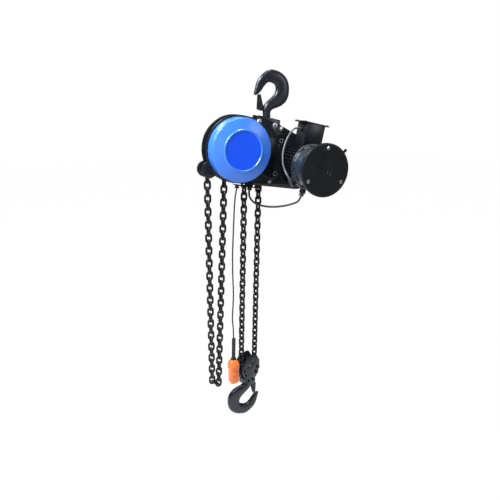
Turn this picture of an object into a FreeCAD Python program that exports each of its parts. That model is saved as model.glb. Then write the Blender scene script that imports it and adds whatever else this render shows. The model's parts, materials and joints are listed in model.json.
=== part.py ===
"""Electric chain hoist, two falls of 10 x 30 mm chain, about 5 t.  Millimetres, +Z up.

The model has two sets of axes that share one origin on the load sheave's axis.  "Hung" pieces
(hooks, chain, hook block, pendant) stand upright.  "Body" pieces (plates, gears, motor) are drawn
square to the hoist body, which hangs turned by the angle `tilt` about the sheave axis.  Both are
then moved so that the seat of the top hook is the origin of the part.  -Y is the front.
"""
import FreeCAD, Part
import math
import os
import re

import Sketcher

V = FreeCAD.Vector
X, Y, Z = V(1, 0, 0), V(0, 1, 0), V(0, 0, 1)

# ---------------------------------------------------------------- sizes
SIZES = dict(
    # body
    tilt=11.0, hook_x=152.0, hook_rise=281.0,
    plate_gap=44.0, plate_thick=8.0, plate_left_r=146.0, plate_right_r=117.0,
    neck_left=67.0, neck_right=175.0, neck_top=160.0, shoulder=140.0,
    ear_x=-113.0, ear_z=-108.0, ear_r=36.0,
    stay_r=9.0, stay_sleeve=3.0, bolt_head_r=11.0, bolt_head_high=13.0, bolt_tail=7.0,
    # chain
    wire=10.0, pitch=30.0, link_gap=0.3, link_inner_width=14.0, pockets=5,
    sheave_phase=-5.0, sheave_rim_r=52.5, sheave_width=42.0, groove_half=6.0, groove_r=29.5,
    journal_r=27.0, bearing_r=38.0, pocket_gap=0.7,
    fall_pairs=18, fixed_pairs=8, upper_ride_pairs=2, lower_ride_pairs=4,
    slack_pairs=19, anchor_pin_r=6.0, block_turn=20.0,
    # gears
    run_gap=0.05, drive_r=10.0, face_gap=0.02,
    front_module=2.0, drive_teeth=13, disc_teeth=43, disc_pinion_teeth=14, load_teeth=42,
    rear_module=2.5, motor_teeth=16, first_teeth=64, second_teeth=18, idler_teeth=36, big_teeth=80,
    pressure_angle=25.0, backlash=0.25,
    load_gear_front=48.0, load_gear_wide=12.0, disc_gear_front=64.0, disc_gear_wide=10.0,
    carrier_front=74.0, carrier_thick=6.0, carrier_r=82.0, post_r=7.0, post_x=70.0, disc_shaft_r=8.0,
    big_gear_wide=12.0, first_gear_wide=8.0, first_gear_gap=7.0, gear_step=14.0,
    # cover and gear case
    cover_r=138.0, cover_side=76.0, cover_edge=6.0, cover_cone_r=88.0, cover_front=95.0,
    cover_lip=3.0, cover_wall=5.0, case_depth=74.0, case_wall=5.0, case_left_r=112.0,
    case_mid_r=94.0, case_right_r=44.0, case_idler_r=60.0,
    # motor
    motor_x=308.0, motor_z=-13.0, barrel_r=88.0, barrel_wall=8.0, fin_high=10.0, fin_thick=3.2,
    fin_count=40, flange_r=104.0, flange_thick=8.0, barrel_front=148.0, shield_thick=10.0,
    shield_r=101.0, stator_inner=50.0, rotor_gap=0.5, stator_rear=60.0, stator_front=125.0,
    rotor_shaft_r=12.0, neck_rear_r=92.0, waist_r=80.0, neck_front_r=106.0, neck_front=255.0,
    neck_wall=6.0, end_disc_r=114.0, end_disc_thick=15.0,
    brake_disc_r=62.0, brake_disc_front=208.0, brake_disc_thick=7.0, armature_thick=6.0,
    brake_gap=0.3, armature_travel=0.6, coil_r=64.0, coil_thick=24.0,
    # terminal box
    box_wide=92.0, box_rear=39.0, box_front=121.0, box_top=170.0, box_wall=4.0, lid_wide=131.0,
    lid_rear=37.0, lid_front=123.0, lid_thick=6.0, supply_bore_r=12.5, supply_y=-80.0, supply_z=140.0,
    # top and load hooks
    hook_thick=34.0, shank_x=-4.0, shank_r=17.0, stem_r=12.0, nut_r=18.0, nut_high=16.0,
    top_shank=150.0, load_shank=122.0, latch_pin_r=3.0, lug_half=6.0,
    yoke_wide=56.0, yoke_top_web=20.0, yoke_window=30.0, yoke_high=84.0, yoke_window_wide=39.0,
    yoke_gap=0.5, swing_pin_r=11.0, swing_drop=65.0, pin_clearance=3.0,
    # hook block
    cheek_thick=9.0, cheek_half=55.0, block_axle_r=14.0, cheek_top=62.0, cheek_low=60.0,
    crosshead_half=26.0, crosshead_high=29.0, crosshead_web=7.0, flange_high=8.0,
    block_bolt_r=4.0, block_head_r=7.5, block_head_high=6.0, cheek_screw_inset=10.0,
    # pendant
    cable_r=3.2, grey_cable_r=4.2, loop_cable_r=4.5, pendant_x=-13.0, pendant_top=-1000.0,
    pendant_high=128.0, pendant_wide=50.0, pendant_deep=44.0, sleeve_high=110.0, button_r=11.0,
    button_travel=4.0,
)
doc = FreeCAD.newDocument("ChainHoist")
sheet = doc.addObject("Spreadsheet::Sheet", "Sizes")
for row, (alias, number) in enumerate(SIZES.items(), start=1):
    sheet.set(f"A{row}", alias)
    sheet.set(f"B{row}", repr(number))
    sheet.setAlias(f"B{row}", alias)
doc.recompute()


class Sheet:
    """The sheet's values, read back by alias."""

    def __getattr__(self, alias):
        return getattr(sheet, alias)


S = Sheet()


def linked(text):
    """An expression in bare aliases, written as FreeCAD expects it."""
    return re.sub(r"[a-z_]+[a-z0-9_]*", lambda m: f"Sizes.{m[0]}" if m[0] in SIZES else m[0], str(text))


probe = doc.addObject("App::FeaturePython", "Reader")


def value(text):
    """The number that such an expression has now."""
    return float(probe.evalExpression(linked(text)))


# ---------------------------------------------------------------- drawing helpers
TILTED = FreeCAD.Placement(V(-S.hook_x, 0, -S.hook_rise), FreeCAD.Rotation(Y, S.tilt))
HUNG = FreeCAD.Placement(V(-S.hook_x, 0, -S.hook_rise), FreeCAD.Rotation())
nodes = {}


def moved(x=0, y=0, z=0, axis=Z, angle=0):
    return FreeCAD.Placement(V(x, y, z), FreeCAD.Rotation(axis, angle))


def node(name, item, *placements):
    """Names one separate piece and puts it where it belongs."""
    place = FreeCAD.Placement()
    for step in placements:
        place = place.multiply(step)
    item.Placement = place.multiply(item.Placement)
    item.Label = name
    nodes[name] = item
    return item


def bind(item, **sizes):
    for prop, text in sizes.items():
        item.setExpression(prop, linked(text))
    return item


def new(kind, name):
    return doc.addObject(kind, name)


def rod(name, radius, y_from, y_to, x="0", z="0"):
    """A cylinder along Y."""
    item = bind(new("Part::Cylinder", name), Radius=radius, Height=f"({y_to}) - ({y_from})")
    item.Placement = FreeCAD.Placement(V(0, 0, 0), FreeCAD.Rotation(X, -90))
    return spot(item, x, y_from, z)


def post(name, radius, z_from, z_to, x="0", y="0"):
    """A cylinder along Z."""
    item = bind(new("Part::Cylinder", name), Radius=radius, Height=f"({z_to}) - ({z_from})")
    return spot(item, x, y, z_from)


def block(name, x_from, x_to, y_from, y_to, z_from, z_to):
    item = bind(new("Part::Box", name), Length=f"({x_to}) - ({x_from})", Width=f"({y_to}) - ({y_from})",
                Height=f"({z_to}) - ({z_from})")
    return spot(item, x_from, y_from, z_from)


def spot(item, x, y, z):
    for axis, text in zip("xyz", (x, y, z)):
        item.setExpression(f"Placement.Base.{axis}", linked(text))
    return item


def fused(name, *items):
    whole = new("Part::MultiFuse", name)
    whole.Shapes = list(items)
    whole.Refine = True
    return whole


def cut(name, base, *tools):
    result = new("Part::Cut", name)
    result.Base = base
    result.Tool = tools[0] if len(tools) == 1 else fused(name + "Tools", *tools)
    result.Refine = True
    return result


def group(name, *items):
    """Several loose solids of one kind, kept in one piece list entry."""
    result = new("Part::Compound", name)
    result.Links = list(items)
    return result


def shape(name, solid):
    """A piece with a form that no primitive or feature has, such as a gear or a chain link."""
    item = new("Part::Feature", name)
    item.Shape = solid
    return item


def sketch(body, plane, points):
    """A closed outline.  A point is (x, y), or (x, y, r) where an arc of radius r leads on to the
    next point, to the left of the line for r > 0 and to the right for r < 0."""
    outline = body.newObject("Sketcher::SketchObject", body.Name + "Outline")
    base = next(o for o in body.Origin.OriginFeatures if o.Role == plane)
    outline.AttachmentSupport = [(base, "")]
    outline.MapMode = "FlatFace"
    places = [V(value(p[0]), value(p[1]), 0) for p in points]
    count = len(points)
    for i, point in enumerate(points):
        a, b = places[i], places[(i + 1) % count]
        if len(point) == 2:
            outline.addGeometry(Part.LineSegment(a, b))
            continue
        radius = value(point[2])
        chord = b - a
        side = V(-chord.y, chord.x, 0).normalize() * math.copysign(1, radius)
        lift = abs(radius) - math.sqrt(max(radius**2 - (chord.Length / 2) ** 2, 0))
        outline.addGeometry(Part.Arc(a, (a + b) / 2 + side * lift, b))
    for i, point in enumerate(points):
        for axis, text, kind in ((-2, point[0], "DistanceX"), (-1, point[1], "DistanceY")):
            if abs(value(text)) < 1e-9:
                outline.addConstraint(Sketcher.Constraint("PointOnObject", i, start(outline, i, places[i]),
                                                          axis))
                continue
            at = outline.addConstraint(Sketcher.Constraint(kind, -1, 1, i, start(outline, i, places[i]),
                                                           value(text)))
            outline.setExpression(f"Constraints[{at}]", linked(text))
    for i, point in enumerate(points):
        after = (i + 1) % count
        ends = (3 - start(outline, i, places[i]), start(outline, after, places[after]))
        outline.addConstraint(Sketcher.Constraint("Coincident", i, ends[0], after, ends[1]))
        if len(point) == 3:
            at = outline.addConstraint(Sketcher.Constraint("Radius", i, abs(value(point[2]))))
            outline.setExpression(f"Constraints[{at}]", linked(f"abs({point[2]})"))
    return outline


def start(outline, i, place):
    """Which end of an edge lies at a place: an arc may be kept the other way round."""
    return 1 if (outline.getPoint(i, 1) - place).Length < 1e-3 else 2


def turned(name, points, along="Y"):
    """A body of revolution from an outline of (radius, position along the axis)."""
    body = new("PartDesign::Body", name)
    outline = sketch(body, "XY_Plane" if along == "Y" else "XZ_Plane", points)
    spin = body.newObject("PartDesign::Revolution", name + "Turned")
    spin.Profile = outline
    spin.ReferenceAxis = (outline, ["V_Axis"])
    spin.Angle = 360
    return body


def slab(name, points, y_from, y_to):
    """A flat piece cut to an outline of (x, z), between two positions in Y."""
    body = new("PartDesign::Body", name)
    outline = sketch(body, "XZ_Plane", points)
    pad = body.newObject("PartDesign::Pad", name + "Pad")
    pad.Profile = outline
    bind(pad, Length=f"({y_to}) - ({y_from})")
    body.setExpression("Placement.Base.y", linked(y_to))
    return body


# ---------------------------------------------------------------- chain
LINK_INNER = S.pitch + S.link_gap
FLAT_SPAN = LINK_INNER + S.wire          # between the crown wires of a link
STAND_SPAN = 2 * S.pitch - FLAT_SPAN     # between the two wires that a link holds
PIN_DROP = STAND_SPAN / 2 - LINK_INNER / 2 + S.anchor_pin_r + S.link_gap   # end link's place to its pin
STEP = 2 * math.pi / S.pockets


def pitch_radius():
    """Radius of the circle through the flat links' crown wires on a pocketed sheave."""
    low, high = S.pitch, 10 * S.pitch * S.pockets
    while high - low > 1e-9:
        mid = (low + high) / 2
        turn = 2 * math.asin(FLAT_SPAN / 2 / mid) + 2 * math.asin(STAND_SPAN / 2 / mid)
        low, high = (mid, high) if turn > STEP else (low, mid)
    return low


WRAP_R = pitch_radius()
FLAT_HALF = math.asin(FLAT_SPAN / 2 / WRAP_R)
STAND_HALF = math.asin(STAND_SPAN / 2 / WRAP_R)
FLAT_R = WRAP_R * math.cos(FLAT_HALF)    # axis to the middle of a flat link
STAND_R = WRAP_R * math.cos(STAND_HALF)


def link(extra=0.0):
    """One link along Z with its width along X; `extra` fattens the wire for a pocket cutter."""
    crown = (S.link_inner_width + S.wire) / 2
    half = (LINK_INNER - S.link_inner_width) / 2
    edges = [
        Part.LineSegment(V(crown, 0, -half), V(crown, 0, half)),
        Part.Arc(V(crown, 0, half), V(0, 0, half + crown), V(-crown, 0, half)),
        Part.LineSegment(V(-crown, 0, half), V(-crown, 0, -half)),
        Part.Arc(V(-crown, 0, -half), V(0, 0, -half - crown), V(crown, 0, -half)),
    ]
    section = Part.Wire(Part.makeCircle(S.wire / 2 + extra, V(crown, 0, -half), Z))
    return Part.Wire([e.toShape() for e in edges]).makePipeShell([section], True, False)


LINK = link()


def run(points, first_flat, twist=(0, 0)):
    """Links between neighbouring crown-wire places (x, z), alternately flat and upright.  A run that
    hangs down is turned about the upright axis from the first angle of `twist` to the second."""
    solids = []
    for i, (a, b) in enumerate(zip(points, points[1:])):
        flat = first_flat == (i % 2 == 0)
        lean = math.degrees(math.atan2(b[0] - a[0], b[1] - a[1]))
        spin = twist[0] + (twist[1] - twist[0]) * (i + 0.5) / (len(points) - 1)
        place = moved((a[0] + b[0]) / 2, 0, (a[1] + b[1]) / 2, Y, lean)
        place = place.multiply(moved(axis=Z, angle=(90 if flat else 0) - spin))
        one = LINK.copy()
        one.Placement = place
        solids.append(one)
    return solids


def around(angles):
    return [(WRAP_R * math.cos(a), WRAP_R * math.sin(a)) for a in angles]


def straight(top, pairs, lean=0.0):
    """Crown-wire places from `top` downwards: a flat link first, then an upright one, and so on."""
    places = [top]
    for span in [FLAT_SPAN, STAND_SPAN] * pairs:
        x, z = places[-1]
        places.append((x + span * math.sin(lean), z - span * math.cos(lean)))
    return places


def over_the_top():
    """Angles of the crown wires on the load sheave from the right-hand fall to the left-hand one."""
    phase = math.radians(S.sheave_phase)
    corners = sorted(phase + k * STEP + side * FLAT_HALF for k in range(-2, 5) for side in (-1, 1))
    right = min(corners, key=abs)
    left = min(corners, key=lambda a: abs(a - math.pi))
    kept = [a for a in corners if right - 1e-9 <= a <= left + 1e-9]
    spans_up = (kept[1] - kept[0]) > (FLAT_HALF + STAND_HALF)
    return kept, spans_up


WRAP, FIRST_UP_FLAT = over_the_top()
RIGHT_TOP = around(WRAP[:1])[0]
LEFT_TOP = around(WRAP[-1:])[0]
FALL_X = RIGHT_TOP[0]
FALL_PAIRS = int(S.fall_pairs)
IDLER_Z = RIGHT_TOP[1] - FLAT_SPAN / 2 - 2 * S.pitch * FALL_PAIRS
TURN = math.radians(S.block_turn)
BLOCK_X = FALL_X + FLAT_R * math.cos(TURN)
BLOCK_Y = FLAT_R * math.sin(TURN)
AT_BLOCK = moved(BLOCK_X, BLOCK_Y, IDLER_Z, Z, S.block_turn)
ANCHORED_X = FALL_X + (FLAT_R + STAND_R) * math.cos(TURN)
ANCHORED_Y = (FLAT_R + STAND_R) * math.sin(TURN)
ANCHOR_SHORT = 3                          # pairs of links that the anchored fall has fewer
ANCHOR_PAIRS = FALL_PAIRS - ANCHOR_SHORT
ANCHORED_TOP = IDLER_Z + STAND_SPAN / 2 + 2 * S.pitch * ANCHOR_PAIRS
ANCHOR_Z = ANCHORED_TOP - PIN_DROP


def body_place(x, z):
    """A hung place (x, z) in the body's own axes."""
    a = math.radians(S.tilt)
    return x * math.cos(a) - z * math.sin(a), x * math.sin(a) + z * math.cos(a)


def hung_place(x, z):
    a = math.radians(S.tilt)
    return x * math.cos(a) + z * math.sin(a), z * math.cos(a) - x * math.sin(a)


def slices(places, cuts):
    """The places of a fall, cut after so many pairs of links."""
    marks = [0] + [2 * c for c in cuts] + [len(places) - 1]
    return [places[a:b + 1] for a, b in zip(marks, marks[1:])]


def chain():
    """Load falls, slack loop and the links on both sheaves."""
    fixed = int(S.fixed_pairs)
    load_cuts = [fixed, fixed + int(S.upper_ride_pairs),
                 fixed + int(S.upper_ride_pairs + S.lower_ride_pairs)]
    loaded = slices(straight(RIGHT_TOP, FALL_PAIRS), load_cuts)
    places = [(0.0, ANCHORED_TOP)]
    for i in range(2 * ANCHOR_PAIRS):
        places.append((0.0, places[-1][1] - (FLAT_SPAN if i % 2 else STAND_SPAN)))
    anchored = slices(places, [c - ANCHOR_SHORT for c in load_cuts])
    share = [0] + [c / FALL_PAIRS * S.block_turn for c in load_cuts] + [S.block_turn]
    falls = []
    for i in range(4):
        twist = (share[i], share[i + 1])
        falls.append(run(loaded[i], True, twist))
        other = run([(ANCHORED_X, z) for _, z in anchored[i]], False, twist)
        for solid in other:
            solid.Placement = moved(0, ANCHORED_Y, 0).multiply(solid.Placement)
        falls[-1] += other
    over = run(around(WRAP), FIRST_UP_FLAT)
    node("load_chain_upper", shape("LoadChainUpper", Part.makeCompound(over + falls[0])), HUNG)
    node("load_chain_mid_a", shape("LoadChainMidA", Part.makeCompound(falls[1])), HUNG)
    node("load_chain_mid_b", shape("LoadChainMidB", Part.makeCompound(falls[2])), HUNG)
    under = [math.pi - FLAT_HALF]
    for i in range(6):
        under.append(under[-1] + 2 * (FLAT_HALF if i % 2 == 0 else STAND_HALF))
    held = run(around(under), True)
    for solid in held:
        solid.Placement = AT_BLOCK.multiply(solid.Placement)
    node("load_chain_lower", shape("LoadChainLower", Part.makeCompound(falls[3] + held)), HUNG)


def slack_loop():
    """The free end: down from the sheave's left side, round a loose bottom link, up to the ear."""
    ear = hung_place(S.ear_x, S.ear_z)
    drop = 2 * S.pitch * S.slack_pairs
    first = STAND_SPAN - PIN_DROP
    rise_pairs = round((drop - (LEFT_TOP[1] - ear[1]) - first) / (2 * S.pitch))
    rise = 2 * S.pitch * rise_pairs + first
    low, high = 0.0, 0.1
    for _ in range(60):
        lean = (low + high) / 2
        width = (LEFT_TOP[0] - drop * math.sin(lean)) - (ear[0] + rise * math.sin(lean))
        fall = (LEFT_TOP[1] - drop * math.cos(lean)) - (ear[1] - rise * math.cos(lean))
        low, high = (lean, high) if math.hypot(width, fall) > FLAT_SPAN and width > 0 else (low, lean)
    down = straight(LEFT_TOP, int(S.slack_pairs), -lean)
    up = [(ear[0] - PIN_DROP * math.sin(lean), ear[1] + PIN_DROP * math.cos(lean))]
    for span in [STAND_SPAN] + [FLAT_SPAN, STAND_SPAN] * rise_pairs:
        x, z = up[-1]
        up.append((x + span * math.sin(lean), z - span * math.cos(lean)))
    links = run(down, True) + run([down[-1], up[-1]], True) + run(up, False)
    node("slack_chain", shape("SlackChain", Part.makeCompound(links)), HUNG)


# ---------------------------------------------------------------- gears
def involute(angle):
    return math.tan(angle) - angle


def gear_outline(module, teeth, phase):
    """Corner places of a spur gear in X and Z, a tooth's middle at angle `phase`."""
    press = math.radians(S.pressure_angle)
    pitch_r = module * teeth / 2
    base, root, tip = pitch_r * math.cos(press), pitch_r - 1.25 * module, pitch_r + module
    half = math.pi / (2 * teeth) - S.backlash / (2 * pitch_r)
    low = max(base, root)
    flank = []
    for i in range(4):
        r = low + (tip - low) * i / 3
        flank.append((r, half + involute(press) - involute(math.acos(min(1, base / r)))))
    if root < base:
        flank.insert(0, (root, flank[0][1]))
    places = []
    for k in range(teeth):
        middle = phase + 2 * math.pi * k / teeth
        side = [(r, middle - a) for r, a in flank] + [(r, middle + a) for r, a in reversed(flank)]
        places += [V(r * math.cos(a), 0, r * math.sin(a)) for r, a in side]
    return places


def gear(module, teeth, phase, y_from, y_to):
    places = gear_outline(module, teeth, phase)
    face = Part.Face(Part.makePolygon(places + places[:1]))
    face.translate(V(0, y_from, 0))
    return face.extrude(V(0, y_to - y_from, 0))


def meshed(phase, teeth, other_teeth, direction):
    """Phase of a gear that meshes with one of known phase, `direction` leading from that one to it."""
    turns = (direction - phase) * teeth / (2 * math.pi)
    return direction + math.pi - (0.5 - turns) * 2 * math.pi / other_teeth


def cylinder(radius, y_from, y_to, inner=0.0):
    solid = Part.makeCylinder(radius, y_to - y_from, V(0, y_from, 0), Y)
    return solid.cut(Part.makeCylinder(inner, y_to - y_from, V(0, y_from, 0), Y)) if inner else solid


FIRST_GEAR_REAR = S.case_depth - S.case_wall - S.first_gear_gap
BIG_GEAR_REAR = FIRST_GEAR_REAR - S.gear_step
PLATE_IN = S.plate_gap / 2
PLATE_OUT = PLATE_IN + S.plate_thick
DISC_REACH = S.front_module * (S.drive_teeth + S.disc_teeth) / 2
MOTOR_AT = (S.motor_x, S.motor_z)
MOTOR_REACH = math.hypot(*MOTOR_AT)
MOTOR_WAY = math.atan2(S.motor_z, S.motor_x)
FIRST_REACH = S.rear_module * (S.motor_teeth + S.first_teeth) / 2
IDLER_FROM_FIRST = S.rear_module * (S.second_teeth + S.idler_teeth) / 2
IDLER_REACH = S.rear_module * (S.idler_teeth + S.big_teeth) / 2
FIRST_FROM_SHEAVE = MOTOR_REACH - FIRST_REACH
FIRST_AT = (FIRST_FROM_SHEAVE * math.cos(MOTOR_WAY), FIRST_FROM_SHEAVE * math.sin(MOTOR_WAY))


def idler_place():
    """Where the idler meets both its neighbours: the upper corner of a triangle of centre distances."""
    along = (IDLER_REACH**2 - IDLER_FROM_FIRST**2 + FIRST_FROM_SHEAVE**2) / (2 * FIRST_FROM_SHEAVE)
    across = math.sqrt(IDLER_REACH**2 - along**2)
    way = MOTOR_WAY + math.atan2(across, along)
    return IDLER_REACH * math.cos(way), IDLER_REACH * math.sin(way)


IDLER_AT = idler_place()


def way(a, b):
    return math.atan2(b[1] - a[1], b[0] - a[0])


def gears():
    front, rear = S.front_module, S.rear_module
    centre = (0.0, 0.0)
    # motor pinion -> first gear, second pinion -> idler -> big gear
    first_phase = meshed(0.0, int(S.motor_teeth), int(S.first_teeth), way(MOTOR_AT, FIRST_AT))
    idler_phase = meshed(0.0, int(S.second_teeth), int(S.idler_teeth), way(FIRST_AT, IDLER_AT))
    big_phase = meshed(idler_phase, int(S.idler_teeth), int(S.big_teeth), way(IDLER_AT, centre))
    big_rear, big_front = BIG_GEAR_REAR, BIG_GEAR_REAR - S.big_gear_wide
    first_rear, first_front = FIRST_GEAR_REAR, FIRST_GEAR_REAR - S.first_gear_wide
    stub = S.disc_shaft_r
    case_floor = S.case_depth - S.case_wall
    first = gear(rear, int(S.first_teeth), first_phase, first_front, first_rear).fuse([
        gear(rear, int(S.second_teeth), 0.0, big_front, big_rear),
        cylinder(1.6 * stub, big_rear, first_front), cylinder(stub, PLATE_IN, case_floor)])
    node("first_gear", shape("FirstGear", first), TILTED, moved(FIRST_AT[0], 0, FIRST_AT[1]))
    idler = gear(rear, int(S.idler_teeth), idler_phase, big_front, big_rear).fuse(
        cylinder(stub, PLATE_IN, big_rear + 2))
    node("idler_gear", shape("IdlerGear", idler), TILTED, moved(IDLER_AT[0], 0, IDLER_AT[1]))
    big = gear(rear, int(S.big_teeth), big_phase, big_front, big_rear).fuse(
        cylinder(2 * S.drive_r, big_front - 1, big_rear + 4)).cut(
        cylinder(S.drive_r + S.face_gap, big_front - 2, big_rear + 5))
    node("big_gear", shape("BigGear", big), TILTED)
    # drive pinion -> two disc gears, their pinions -> load gear
    disc_front, disc_rear = -S.disc_gear_front, -S.disc_gear_front + S.disc_gear_wide
    load_front, load_rear = -S.load_gear_front, -S.load_gear_front + S.load_gear_wide
    shaft = gear(front, int(S.drive_teeth), 0.0, disc_front - 2, disc_rear + 2).fuse([
        cylinder(S.drive_r, -S.carrier_front, case_floor)])
    node("drive_shaft", shape("DriveShaft", shaft), TILTED)
    load_phase = 0.0
    for name, direction in (("disc_gear_upper", math.pi / 2), ("disc_gear_lower", -math.pi / 2)):
        phase = meshed(0.0, int(S.drive_teeth), int(S.disc_teeth), direction)
        pinion_phase = meshed(load_phase, int(S.load_teeth), int(S.disc_pinion_teeth), direction)
        disc = gear(front, int(S.disc_teeth), phase, disc_front, disc_rear).fuse([
            gear(front, int(S.disc_pinion_teeth), pinion_phase, disc_rear, load_rear + 2),
            cylinder(stub, -S.carrier_front, -PLATE_IN)])
        node(name, shape(name.title().replace("_", ""), disc), TILTED,
             moved(0, 0, DISC_REACH * math.sin(direction)))
    load = gear(front, int(S.load_teeth), load_phase, load_front, load_rear).cut(
        cylinder(S.journal_r + S.face_gap, load_front - 1, load_rear + 1))
    node("load_gear", shape("LoadGear", load), TILTED)


def pocket_cutter(turn):
    """A flat link's bed in a sheave: the fattened link, open outwards."""
    bed = link(S.pocket_gap)
    bed.rotate(V(), Z, 90)
    half_long = LINK_INNER / 2 + S.wire + S.pocket_gap
    crown = S.link_inner_width / 2 + S.wire + S.pocket_gap
    opening = Part.makeBox(2 * S.sheave_rim_r, 2 * crown, 2 * (half_long - crown),
                           V(0, -crown, crown - half_long))
    bed.translate(V(FLAT_R, 0, 0))
    opening.translate(V(FLAT_R, 0, 0))
    ends = [Part.makeCylinder(crown, 2 * S.sheave_rim_r, V(FLAT_R, 0, z), X) for z in (half_long - crown,
        crown - half_long)]
    cutter = bed.fuse([opening] + ends)
    cutter.rotate(V(), Y, -math.degrees(turn))
    return cutter


def chain_sheave(item_name, half_width, bore):
    """A sheave with a groove for upright links and beds for flat ones, a bed's middle along X."""
    rim = turned(item_name + "Blank", [(bore, f"-{half_width}"), ("sheave_rim_r", f"-{half_width}"),
                 ("sheave_rim_r", "-groove_half"), ("groove_r", "-groove_half"),
                 ("groove_r", "groove_half"),
                 ("sheave_rim_r", "groove_half"), ("sheave_rim_r", f"{half_width}"),
                 (bore, f"{half_width}")])
    beds = [shape(f"{item_name}Bed{k}", pocket_cutter(k * STEP)) for k in range(int(S.pockets))]
    return cut(item_name + "Wheel", rim, *beds)


def load_sheave():
    wheel = chain_sheave("LoadSheave", "sheave_width/2", "drive_r + run_gap")
    front = turned("SheaveFrontJournal", [("drive_r + run_gap", "-load_gear_front"), ("journal_r",
        "-load_gear_front"),
                   ("journal_r", "-sheave_width/2"), ("drive_r + run_gap", "-sheave_width/2")])
    rear = turned("SheaveRearJournal", [("drive_r + run_gap", "sheave_width/2"), ("journal_r",
        "sheave_width/2"),
                  ("journal_r", "plate_gap/2 + plate_thick + 2"),
                  ("drive_r + run_gap", "plate_gap/2 + plate_thick + 2")])
    node("load_sheave", fused("LoadSheave", wheel, front, rear), TILTED,
         moved(axis=Y, angle=-(S.sheave_phase + S.tilt)))


# ---------------------------------------------------------------- body plates and covers
PLATE_HOLES = []


def plate(name, y_from, y_to, bearing_hole):
    """One wall plate, as a fusion of its round ends, its web, the hook neck and the ear."""
    left = rod(name + "Left", "plate_left_r", y_from, y_to)
    right = rod(name + "Right", "plate_right_r", y_from, y_to, "motor_x", "motor_z")
    web = slab(name + "Web", [("0", "-plate_left_r"), ("motor_x", "motor_z - plate_right_r"),
               ("motor_x", "motor_z + plate_right_r"), ("neck_right + 3", "shoulder"),
               ("neck_right", "neck_top"),
               ("neck_left", "neck_top"), ("neck_left", "plate_left_r"), ("0", "plate_left_r")], y_from,
               y_to)
    ear = rod(name + "Ear", "ear_r", y_from, y_to, "ear_x", "ear_z")
    blank = fused(name + "Blank", left, right, web, ear)
    holes = [rod(name + "Bearing", bearing_hole, f"{y_from} - 1", f"{y_to} + 1"),
             rod(name + "Swing", "swing_pin_r + run_gap", f"{y_from} - 1", f"{y_to} + 1", SWING_X, SWING_Z),
             rod(name + "Ear1", "anchor_pin_r", f"{y_from} - 1", f"{y_to} + 1", "ear_x", "ear_z"),
             rod(name + "Rotor", MOTOR_BEARING, f"{y_from} - 1", f"{y_to} + 1", "motor_x", "motor_z")]
    for i, (x, z, _, reach) in enumerate(STAYS):
        if name == "FrontPlate" or reach != "front plate":
            holes.append(rod(f"{name}Stay{i}", "stay_r", f"{y_from} - 1", f"{y_to} + 1", x, z))
    return blank, holes


MOTOR_BEARING = "bearing_r - 12"
NOTCH_HALF = "(link_inner_width/2 + wire + 2)"   # the anchored chain's way past the rear plate's edge
# Bolts through the plates: x, z, head radius, and how far back each one goes.
STAYS = [("154", "131", "bolt_head_r + 1", "front plate"), ("188", "125", "bolt_head_r - 1", "nut"),
         ("73", "134", "bolt_head_r", "nut"), ("194", "73", "bolt_head_r - 1", "rear plate"),
         ("196", "-74", "bolt_head_r - 1", "rear plate"), ("182", "-112", "bolt_head_r - 1", "rear plate"),
         ("-20", "118", "bolt_head_r - 1", "rear plate"), ("-100", "-30", "bolt_head_r - 1", "rear plate"),
         ("100", "-118", "bolt_head_r - 1", "nut")]
SWING_X, SWING_Z = map(str, body_place(S.hook_x + S.shank_x, S.hook_rise - S.top_shank - S.swing_drop))


def body_plates():
    front, holes = plate("FrontPlate", "-plate_gap/2 - plate_thick", "-plate_gap/2", "bearing_r")
    for i, z in enumerate((DISC_REACH, -DISC_REACH)):
        holes.append(rod(f"FrontPlateDisc{i}", "disc_shaft_r + run_gap", "-plate_gap/2 - plate_thick - 1",
                         "-plate_gap/2 + 1", "0", str(z)))
    node("front_plate", cut("FrontPlate", front, *holes), TILTED)
    rear, holes = plate("RearPlate", "plate_gap/2", "plate_gap/2 + plate_thick", "bearing_r")
    for i, (x, z) in enumerate((FIRST_AT, IDLER_AT)):
        holes.append(rod(f"RearPlateShaft{i}", "disc_shaft_r + run_gap", "plate_gap/2 - 1",
                         "plate_gap/2 + plate_thick + 1", str(x), str(z)))
    x, z = body_place(ANCHORED_X, ANCHOR_Z)
    holes.append(block("RearPlateNotch", f"{x} - {NOTCH_HALF}", f"{x} + {NOTCH_HALF}", "plate_gap/2 - 1",
                       "plate_gap/2 + plate_thick + 1", f"{z} - 60", f"{z} + anchor_pin_r + wire + 4"))
    node("rear_plate", cut("RearPlate", rear, *holes), TILTED)


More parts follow.
